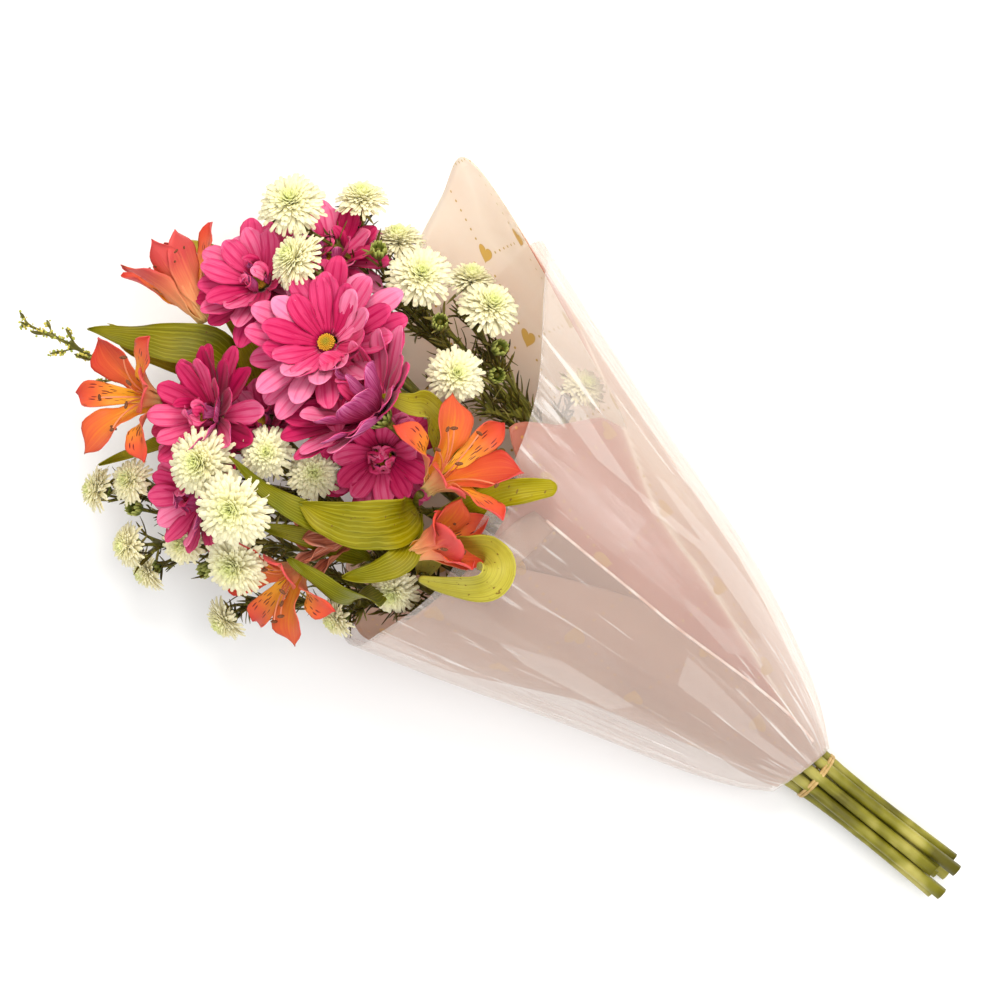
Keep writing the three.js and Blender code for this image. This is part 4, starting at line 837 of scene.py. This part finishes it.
for name in [n for n in HEADS if n.startswith("alstroemeria")]:
    head = HEADS[name]
    at, axis, reach, draw, flare = head["at"], head["faces"], head["reach"], head["draw"], head["flare"]
    is_faded = name.endswith("faded")
    start = draw(0, 1)
    tepals = {
        "outer": dict(first=0, width=12 if is_faded else 23, opening=12, closing=flare, cup=0.2),
        "inner": dict(first=1, width=8 if is_faded else 15, opening=6, closing=flare * 0.86, cup=0.3),
    }
    for kind, tepal in tepals.items():
        bm = bmesh.new()
        for i in range(tepal["first"], 6, 2):
            spoke = spoke_of(head, start + 2 * math.pi * (i + 0.5) / 6 + draw(-0.05, 0.05))
            length = reach * draw(0.93, 1.05)
            closing = tepal["closing"] + draw(-5, 5)
            points = bent_clear(
                at + spoke * 2.6 + axis * 4.5, spoke, axis, math.radians(tepal["opening"]),
                math.radians(closing), length, 18, tepal["width"] * 0.7, sway=draw(-0.15, 0.15),
            )
            blade(bm, points, axis - spoke * 0.3, tepal_outline, tepal["width"] * (0.9 + 0.05 * (i // 2)), 12,
                  cup=tepal["cup"], ribs=TEPAL_FOLD, blunt=0.08, ruffle=1.8, tint=(0.7, 0.1, 0.45)[i // 2])
        placed.append(BVHTree.FromBMesh(bm))
        skins = [tepal_faded] if is_faded else [tepal_coral if kind == "outer" else tepal_dashed, tepal_under]
        slot = "faded_petals" if is_faded else "orange_petals"
        new_piece(name + "_" + kind, bm, skins, [name], wall=0.4, under=len(skins) - 1)
    if is_faded:
        continue
    threads = bmesh.new()
    sacs = bmesh.new()
    lower = -spoke_of(head, start + 0.5)
    for i in range(6):
        spoke = spoke_of(head, start + 2 * math.pi * (i + 0.2) / 6)
        points = arc(at + spoke * 1.2 + axis * 6, (spoke + lower * 0.7).normalized(), axis, 0.06,
                     math.radians(flare * draw(0.5, 0.9)), reach * draw(0.62, 0.8), 9, draw(-0.3, 0.3))
        filament(threads, points, 0.38)
        aim = (points[-1] - points[-2]).cross(spoke).normalized()
        egg(sacs, 8, 6, 1.0, (0.9, 0.9, 2.0), aim, points[-1])
    new_piece(name + "_filaments", threads, [filament_pink])
    new_piece(name + "_anthers", sacs, [anther_brown])


# ------------------------------------------------------------------ goldenrod
# The arching tip of a goldenrod sprig. Its side twigs are crowded with tiny round buds, most of them
# still closed and yellow-green.

BUDS_FROM = -206  # x from which the sprig carries buds
GOLDENROD_BUDS = 260

# Goldenrod bud: matt, slightly downy, yellow-green to golden.
bud_gold, tree, shader = finish_of("bud_gold", Roughness=0.7, IOR=1.4)
tinted(tree, shader, [(0.0, "#8C9A3C"), (0.5, "#B9B84C"), (1.0, "#DCC65A")])

luck = random.Random("goldenrod")
spots = [spot for spot in stem_faces["goldenrod_sprig"] if spot[0].x < BUDS_FROM]
bm = bmesh.new()
for centre, normal, run, _ in luck.choices(spots, weights=[s[3] for s in spots], k=GOLDENROD_BUDS):
    spot = centre + run * luck.uniform(-2, 2) + normal * luck.uniform(0, 1.2)
    bead(bm, spot, luck.uniform(0.45, 0.9), luck.random())
new_piece("goldenrod_buds", bm, [bud_gold])


# ------------------------------------------------------------------ printed film
# A sheet of blush polypropylene film wound once round the stems, its front edge folded back at the
# mouth, printed with gold hearts where lines of dots cross. It is hazy: what it covers only just shows.

NECK_X = 184
NECK_SLANT = 4.5  # mm that the rim at the neck leans from +Y to -Y, to each side
NECK_HALF_WIDTH = 15.1
NECK_HEIGHT = 31.2
FLAT_SHARE = 1 - math.cos(2 * math.pi * 2 / 24)  # how far the cone's lowest strip is flattened
FILM_WALL = 0.3
NECK_ARC = 130  # mm, the radius of the flat sheet's arc at the neck
ARC_GROWTH = 1.035  # mm that this radius grows for each mm along x
FLAT_TURN = 0.262  # turn of the flat sheet for each turn round the cone
# turn in degrees and x of the film's edge, for points along its mouth
PRINTED_MOUTH = [
    (-20, -2), (0, -14), (30, -18), (60, -26), (90, -34), (130, -62), (180, -108), (206, -136), (218, -146),
    (233, -150), (255, -153), (270, -130), (285, -76), (300, -6), (312, -15), (328, -28), (338, -44),
    (341, -44), (347, -29), (361, -19), (390, -14),
]
CLEAR_MOUTH = [
    (0, -28), (30, -22), (60, -30), (90, -38), (130, -62), (180, -96), (230, -102), (270, -93), (300, -76),
    (330, -44), (360, -28),
]


def section_at(x):
    """Half width, height and middle of the sleeve at x."""
    away = max(0.0, NECK_X + NECK_SLANT - x)
    opening = 17 * (1 - math.exp(-away / 30))
    middle = 4.5 * math.exp(-2 * ((away - 100) / 100) ** 2)
    return NECK_HALF_WIDTH + opening + 0.3 * away, NECK_HEIGHT + opening + 0.47 * away, middle


def wall_point(x, turn, inset, narrower=0.0):
    """A point of the cone's wall. `turn` is 0 at the top and grows towards -Y, `inset` is a depth."""
    half_width, height, middle = section_at(x)
    side = narrower * min(1, (NECK_X - x) / 40)
    half_height = height / (2 - FLAT_SHARE)
    z = half_height * (1 - FLAT_SHARE) + (half_height - inset) * math.cos(turn)
    return Vector((x, middle - (half_width - inset - side) * math.sin(turn), max(inset, z)))


def mouth_at(table, turn):
    """Smooth value of a mouth table at a turn in radians."""
    degrees = math.degrees(turn)
    points = [Vector((a, x, 0)) for a, x in table]
    k = max(1, min(len(points) - 1, sum(1 for p in points if p.x < degrees)))
    four = [points[max(0, min(len(points) - 1, k + d))] for d in (-2, -1, 0, 1)]
    return smooth_point(*four, (degrees - four[1].x) / (four[2].x - four[1].x)).y


def unrolled(x, turn):
    """Where a point of the cone lies on the flat sheet, in mm."""
    out = NECK_ARC + (NECK_X - x) * ARC_GROWTH
    return out * math.cos(turn * FLAT_TURN), out * math.sin(turn * FLAT_TURN)


def chart_film(bm, spots):
    """Gives each vertex of a film, at its x and turn in `spots`, its place on the flat sheet."""
    uv = bm.loops.layers.uv.active
    for face in {f for vert in spots for f in vert.link_faces}:
        for loop in face.loops:
            loop[uv].uv = unrolled(*spots[loop.vert])


def shade_at(x, turn):
    """The film's ground tone: grey-pink in front where it is doubled, a painted shade of the dark stems
    inside; a bright peach on the far side, painted light coming through the film; darker again on the steep
    side towards the right, a painted shade; and salmon, the film's own colour, at the right.
    """
    edge = math.radians(max(278, 322 - 0.42 * max(0, 35 - x) + 0.11 * max(0, x - 35)))
    salmon = min(1, max(0, 0.5 + (turn - edge) / 0.12))
    # painted light and shade: 0.25 (painted shade) in front, rising to 0.6 (painted light) on the far side,
    # dipping by 0.14 (painted shade) on the steep side
    painted_light_and_shade = 0.25 + 0.35 * min(1, max(0, (turn - 1.7) / 1.3)) - 0.14 * min(1, max(0, (turn - 4.6) / 0.4))
    return painted_light_and_shade + (1 - painted_light_and_shade) * salmon


def side_gap(x, turn):
    """How far the printed film stays inside the sleeve at its sides, more in front near the neck."""
    return 4.5 + 9 * min(1, max(0, (x - 10) / 60)) * max(0, math.sin(turn))


def front_edge(x):
    """The turn at which the printed film's front edge crosses x."""
    return math.radians(-6.5 - 26 * max(0, (x - 70) / 114) ** 1.8)


def film_sheet(bm, table, begins, ends, depth, narrower, pleats, columns, rows):
    """A film on the cone's wall: a grid from the neck to the mouth in `table`, and from the turn
    `begins`(x) to the turn `ends`. `depth`, `narrower` and `pleats` say how far it lies inside the wall."""
    bm.loops.layers.uv.new("UVMap")
    shade = bm.verts.layers.float.new("tint")
    made = bmesh.ops.create_grid(bm, x_segments=columns, y_segments=rows, size=1)["verts"]
    spots = {}
    for vert in made:
        t = (vert.co.y + 1) / 2
        low = begins(NECK_X - (NECK_X + 4) * t ** 1.15)
        turn = low + (ends - low) * (vert.co.x + 1) / 2
        neck = NECK_X - NECK_SLANT * math.sin(turn)
        x = neck + (mouth_at(table, turn) - neck) * t ** 1.15
        inset = depth(turn) + pleats(x, turn)
        spots[vert] = (x, turn)
        # painted light and shade: a soft noise that lightens and darkens the ground tone unevenly
        tone_and_painted_light = noise.noise(Vector((x * 0.02, 3 * math.cos(turn), 3 * math.sin(turn))))
        vert[shade] = shade_at(x, turn) + 0.08 * tone_and_painted_light
        vert.co = wall_point(x, turn, inset, narrower(x, turn) * math.sin(turn) ** 2)
    chart_film(bm, spots)
    return made


def neck_pleats(x, turn):
    """The film gathers in pleats towards the neck and is slack above them."""
    near = math.exp(-max(0, NECK_X - x) / 38)
    fold = abs(math.sin(7.5 * turn + 0.9 * math.sin(3 * turn) + x * 0.012))
    slack = noise.noise(Vector((x * 0.02, 2.6 * math.cos(turn), 2.6 * math.sin(turn))))
    bend = turn + 0.002 * x
    crease = abs(noise.noise(Vector((x * 0.008, 7 * math.cos(bend), 7 * math.sin(bend)))))
    return 1.7 * near * (1 - fold) + 0.4 * abs(slack) + 0.9 * crease * min(1, max(0, (x + 60) / 80))


def in_cell(tree, place, pitch, shift):
    """Where a point lies in its cell of a square lattice, from the cell's middle, in mm."""
    cells = add(tree, "VectorMath", {1: (1 / pitch, 1 / pitch, 1), 2: (shift, shift, 0)}, {0: place},
                operation="MULTIPLY_ADD")
    inside = add(tree, "VectorMath", {}, {0: cells}, operation="FRACTION")
    centred = add(tree, "VectorMath", {1: (0.5, 0.5, 0)}, {0: inside}, operation="SUBTRACT")
    return add(tree, "VectorMath", {"Scale": pitch}, {0: centred}, operation="SCALE")


HEART_PITCH = 48
DOT_PITCH = HEART_PITCH / 9

# Printed film: thin blush polypropylene, hazy and glossy. The print is a lattice of gold hearts with
# lines of dots between them, a little fainter where the film is doubled or turns away.
film_blush, tree, shader = finish_of(
    "film_blush", Roughness=0.34, IOR=1.49, Alpha=0.66, Subsurface_Weight=1.0, Subsurface_Scale=0.003,
    Subsurface_Radius=(1.0, 0.9, 0.8),
)
turned = add(tree, "Mapping", {"Location": (2, 35, 0), "Rotation": (0, 0, math.radians(12.9))},
             {"Vector": add(tree, "UVMap")})
from_heart = in_cell(tree, turned, HEART_PITCH, 0)
apart = add(tree, "SeparateXYZ", {}, {"Vector": from_heart})
# heart, 10 mm wide, across the lattice: x² + (1.2 y - √|x|)² < 1, with x and y in units of 5 mm
upright = add(tree, "VectorRotate", {"Angle": math.radians(-45)}, {"Vector": from_heart},
              rotation_type="Z_AXIS")
units = add(tree, "VectorMath", {"Scale": 0.2}, {0: upright}, operation="SCALE")
lobes = add(tree, "SeparateXYZ", {}, {"Vector": units})
half = add(tree, "Math", {}, {0: lobes.outputs["X"]}, operation="ABSOLUTE")
root = add(tree, "Math", {1: 0.5}, {0: half}, operation="POWER")
square = add(tree, "Math", {}, {0: half, 1: half}, operation="MULTIPLY")
tall = add(tree, "Math", {1: 1.2}, {0: lobes.outputs["Y"]}, operation="MULTIPLY")
rise = add(tree, "Math", {}, {0: tall, 1: root}, operation="SUBTRACT")
heart = add(tree, "Math", {}, {0: rise, 1: rise, 2: square}, operation="MULTIPLY_ADD")
marks = add(tree, "Math", {1: 1.0}, {0: heart}, operation="LESS_THAN")
# dots on both lines through the heart, 1.5 mm wide
from_dot = add(tree, "SeparateXYZ", {}, {"Vector": in_cell(tree, from_heart, DOT_PITCH, 0.5)})
for cross, along in (("X", "Y"), ("Y", "X")):
    far = add(tree, "Math", {}, {0: apart.outputs[along]}, operation="ABSOLUTE")
    clear = add(tree, "Math", {1: 7.5}, {0: far}, operation="GREATER_THAN")
    off_line = add(tree, "Math", {1: 2.0}, {0: apart.outputs[cross]}, operation="POWER")
    off_dot = add(tree, "Math", {1: 2.0}, {0: from_dot.outputs[along]}, operation="POWER")
    total = add(tree, "Math", {}, {0: off_line, 1: off_dot}, operation="ADD")
    small = add(tree, "Math", {1: 0.55}, {0: total}, operation="LESS_THAN")
    dots = add(tree, "Math", {}, {0: small, 1: clear}, operation="MULTIPLY")
    marks = add(tree, "Math", {}, {0: dots, 1: marks}, operation="MAXIMUM")
own = add(tree, "Attribute", attribute_name="tint").outputs["Fac"]
# Ground tone by tint: the brown (0), grey-pink (0.25) and muted (0.46) stops are painted shade, the bright
# peach (0.6) is painted light, and the salmon stops (0.78, 1) are the film's own colour.
tone = add(
    tree, "ValToRGB", {}, {"Fac": own},
    [
        (0.0, "#86543A"), (0.25, "#B48268"), (0.46, "#C08A70"), (0.6, "#FFD3B4"), (0.78, "#CA8670"),
        (1.0, "#B05C46"),
    ],
)
ink = add(
    tree, "ValToRGB", {}, {"Fac": own},
    [(0.25, "#E4E4E4"), (0.46, "#F0F0F0"), (0.54, "#FFFFFF"), (0.72, "#FFFFFF"), (1.0, "#E8E8E8")],
)
strength = add(tree, "Math", {}, {0: marks, 1: ink}, operation="MULTIPLY")
printed = add(tree, "Mix", {7: srgb("#A8741E")}, {0: strength, 6: tone}, data_type="RGBA")
solid = add(tree, "Math", {1: 0.3, 2: 0.66}, {0: strength}, operation="MULTIPLY_ADD")
creases = add(tree, "TexNoise", {"Scale": 28.0, "Detail": 2.0},
              {"Vector": add(tree, "TexCoord").outputs["Object"]})
relief = add(tree, "Bump", {"Strength": 0.3, "Distance": 0.002}, {"Height": creases})
link(tree, shader, {"Alpha": solid, "Base Color": printed.outputs[2], "Normal": relief})

# Folded edge: the film doubled over on itself. Its near-white colour is a painted highlight for the bright
# line of light along the fold.
film_fold_painted_highlight, tree, shader = finish_of("film_fold_painted_highlight", Roughness=0.25, IOR=1.49, Alpha=0.6)
grained(tree, shader, 90.0, 2.0, [(0.35, "#E8BFAE"), (0.6, "#FFF0E6")])

bm = bmesh.new()
film_sheet(
    bm, PRINTED_MOUTH, begins=front_edge, ends=math.radians(390), narrower=side_gap, pleats=neck_pleats,
    depth=lambda turn: 1.1 + 1.3 * turn / (2 * math.pi), columns=168, rows=72,
)
new_piece("printed_film_sheet", bm, [film_blush], ["printed_film"], wall=FILM_WALL)

bm = bmesh.new()
points = [wall_point(x, front_edge(x), 0.8) for x in range(-3, 180, 3)]
filament(bm, points, 0.85)
new_piece("printed_film_edge", bm, [film_fold_painted_highlight])

# the corner that is folded back under the sleeve: a triangle between the edge and a line that meets it
FOLD_FROM = 57  # x at which they meet
FOLD_LENGTH = 54
FOLD_SWEEP = 16.5  # degrees between them at the mouth
bm = bmesh.new()
shade = bm.verts.layers.float.new("tint")
bm.loops.layers.uv.new("UVMap")
spots = {}
for vert in bmesh.ops.create_grid(bm, x_segments=10, y_segments=16, size=1)["verts"]:
    inward, t = (vert.co.x + 1) / 2, (vert.co.y + 1) / 2
    x = FOLD_FROM - (FOLD_LENGTH + 3 * inward) * t
    turn = front_edge(x) + math.radians(1 + FOLD_SWEEP * t) * inward
    spots[vert] = (x, turn)
    # its tint takes the dark brown end of the tone ramp: a painted shade under the folded corner
    vert[shade] = 0.02 + 0.1 * (1 - inward)
    vert.co = wall_point(x, turn, 0.75)
chart_film(bm, spots)
new_piece("printed_film_corner", bm, [film_blush], wall=0.25)


# ------------------------------------------------------------------ clear sleeve
# The florist's conical sleeve of clear film, open at both ends and welded down its side. It veils what
# it covers with a faint pink haze and catches the light in long streaks, which are also painted on it as
# glints.

# Clear film: biaxial polypropylene, 40 micrometres, glossy, a little cloudy, with the creases that its
# handling left. Streaks about 4 mm wide and 50 mm long that run up the cone, and flat planes between creases,
# are painted
# whiter and more opaque: painted glints, with a little real whitening of the creases. It is painted hazier at
# a
# slant: real haze, and a painted sheen.
film_clear, tree, shader = finish_of("film_clear", Roughness=0.1, IOR=1.49)
polar = add(tree, "SeparateXYZ", {}, {"Vector": add(tree, "UVMap")})
x, y = polar.outputs["X"], polar.outputs["Y"]
flat = add(tree, "CombineXYZ", {}, {"X": x, "Y": y})
out = add(tree, "VectorMath", {}, {0: flat}, operation="LENGTH")
angle = add(tree, "Math", {}, {0: y, 1: x}, operation="ARCTAN2")
far = add(tree, "Math", {1: 0.018}, {0: out.outputs["Value"]}, operation="MULTIPLY")
around = add(tree, "Math", {1: 70.0}, {0: angle}, operation="MULTIPLY")
ray = add(tree, "CombineXYZ", {}, {"X": far, "Y": around})
streaks = add(tree, "TexNoise", {"Scale": 1.0, "Detail": 1.5, "Distortion": 0.3}, {"Vector": ray})
fields = add(tree, "TexNoise", {"Scale": 14.0, "Detail": 1.0},
             {"Vector": add(tree, "TexCoord").outputs["Object"]})
both = add(tree, "Math", {1: 0.45}, {0: fields, 2: streaks}, operation="MULTIPLY_ADD")
streak_whitening_and_painted_glints = add(tree, "MapRange", {1: 0.84, 2: 0.95, 3: 0.0, 4: 1.0}, {0: both})
wide = add(tree, "Mapping", {"Scale": (0.8, 0.36, 1)}, {"Vector": ray})
planes = add(tree, "TexVoronoi", {"Scale": 1.0}, {"Vector": wide})
chance = add(tree, "SeparateXYZ", {}, {"Vector": planes.outputs["Color"]})
painted_plane_glints = add(tree, "MapRange", {1: 0.7, 2: 0.95, 3: 0.0, 4: 0.36}, {0: chance.outputs["X"]})
# painted glints: the streaks and planes make the film whiter and more opaque, with a little real crease
# whitening
white = add(tree, "Math", {}, {0: streak_whitening_and_painted_glints, 1: painted_plane_glints}, operation="MAXIMUM")
tone = add(tree, "Mix", {6: srgb("#F2E4DA"), 7: srgb("#FFF8F2")}, {0: white}, data_type="RGBA")
# haze, thicker where the film is seen at a slant: partly real haze, partly a painted sheen
grazing = add(tree, "LayerWeight", {"Blend": 0.25})
haze_and_painted_sheen = add(tree, "Math", {1: 0.32, 2: 0.12}, {0: grazing.outputs["Facing"]}, operation="MULTIPLY_ADD")
haze_and_painted_light = add(tree, "Math", {1: 0.2}, {0: white, 2: haze_and_painted_sheen}, operation="MULTIPLY_ADD", use_clamp=True)
relief = add(tree, "Bump", {"Strength": 0.3, "Distance": 0.003}, {"Height": streaks})
link(tree, shader, {"Base Color": tone.outputs[2], "Alpha": haze_and_painted_light, "Normal": relief})

bm = bmesh.new()
sheet = film_sheet(
    bm, CLEAR_MOUTH, begins=lambda x: 0.0, ends=2 * math.pi, depth=lambda turn: 0.0,
    narrower=lambda x, turn: 0.0, pleats=lambda x, turn: 0.3 * neck_pleats(x, turn), columns=120, rows=60,
)
bmesh.ops.remove_doubles(bm, verts=sheet, dist=0.01)
new_piece("clear_sleeve_film", bm, [film_clear], ["clear_sleeve"], wall=FILM_WALL)


# ------------------------------------------------------------------ elastic band
# One tan rubber band, wound twice round the stems below the sleeve. Its turns cross on the underside, and
# its own tension holds the bunch.

BAND_X = 193
BAND_CORD = 0.9  # radius
BAND_STEPS = 128
BUNDLE_RADIUS = 12.4
BUNDLE_HEIGHT = 15.6  # of its middle

# Band: matt natural rubber with a fine bloom.
band_rubber, tree, shader = finish_of("band_rubber", Roughness=0.75, IOR=1.52)
grained(tree, shader, 300.0, 3.0, [(0.35, "#B08E52"), (0.65, "#CDAE74")])

bm = bmesh.new()
points = []
for i in range(BAND_STEPS + 1):
    turn = 4 * math.pi * i / BAND_STEPS
    drift = -BAND_CORD * math.cos(turn / 2)
    lift = 0.9 * BAND_CORD * math.exp(-((turn - 3 * math.pi) / 0.5) ** 2)
    out = BUNDLE_RADIUS + BAND_CORD + lift
    points.append(Vector((BAND_X + drift, out * math.sin(turn), BUNDLE_HEIGHT + out * math.cos(turn))))
filament(bm, points, BAND_CORD)
bmesh.ops.remove_doubles(bm, verts=bm.verts, dist=0.02)
new_piece("elastic_band_cord", bm, [band_rubber], ["elastic_band"])


# ------------------------------------------------------------------ table, light and camera
# A white painted table under three large soft lamps and a small low one beyond the cut ends, which puts
# the glints on the films. The camera looks straight down.

table_white, tree, shader = finish_of("table_white", Roughness=0.6, IOR=1.45)
grained(tree, shader, 3.0, 1.0, [(0.3, "#F4F3F1"), (0.7, "#F8F7F5")])
bm = bmesh.new()
bmesh.ops.create_grid(bm, x_segments=1, y_segments=1, size=4)
mesh = bpy.data.meshes.new("table_top")
bm.to_mesh(mesh)
bm.free()
mesh.materials.append(table_white)
table_top = bpy.data.objects.new("table_top", mesh)
bpy.context.scene.collection.objects.link(table_top)

LAMPS = {
    "key": dict(at=(-0.7, 0.9, 1.7), size=0.8, watts=23, colour="#FFFAF2"),
    "fill": dict(at=(0.9, -0.6, 1.6), size=1.4, watts=10, colour="#F6F9FF"),
    "top": dict(at=(0.25, 0.35, 2.2), size=0.9, watts=10, colour="#FFFFFF"),
    "glint": dict(at=(1.3, 1.0, 0.85), size=0.3, watts=2.5, colour="#FFFFFF"),
}
for name, lamp in LAMPS.items():
    light = bpy.data.lights.new(name, "AREA")
    light.shape = "DISK"
    light.size = lamp["size"]
    light.energy = lamp["watts"]
    light.color = srgb(lamp["colour"])[:3]
    stand = bpy.data.objects.new(name, light)
    stand.location = lamp["at"]
    stand.rotation_euler = (-Vector(lamp["at"])).to_track_quat("-Z", "Y").to_euler()
    bpy.context.scene.collection.objects.link(stand)

world = bpy.data.worlds.new("studio")
world.use_nodes = True
world.node_tree.nodes["Background"].inputs["Color"].default_value = srgb("#FFFFFF")
world.node_tree.nodes["Background"].inputs["Strength"].default_value = 0.8
bpy.context.scene.world = world
bpy.context.scene.view_settings.view_transform = "Standard"

camera = bpy.data.cameras.new("camera")
camera.lens = 100
camera.sensor_width = 36
camera.clip_end = 20
eye = bpy.data.objects.new("camera", camera)
eye.location = (-0.0263, 0.0042, 1.469)
eye.rotation_euler = (0, 0, math.radians(40))
bpy.context.scene.collection.objects.link(eye)
bpy.context.scene.camera = eye
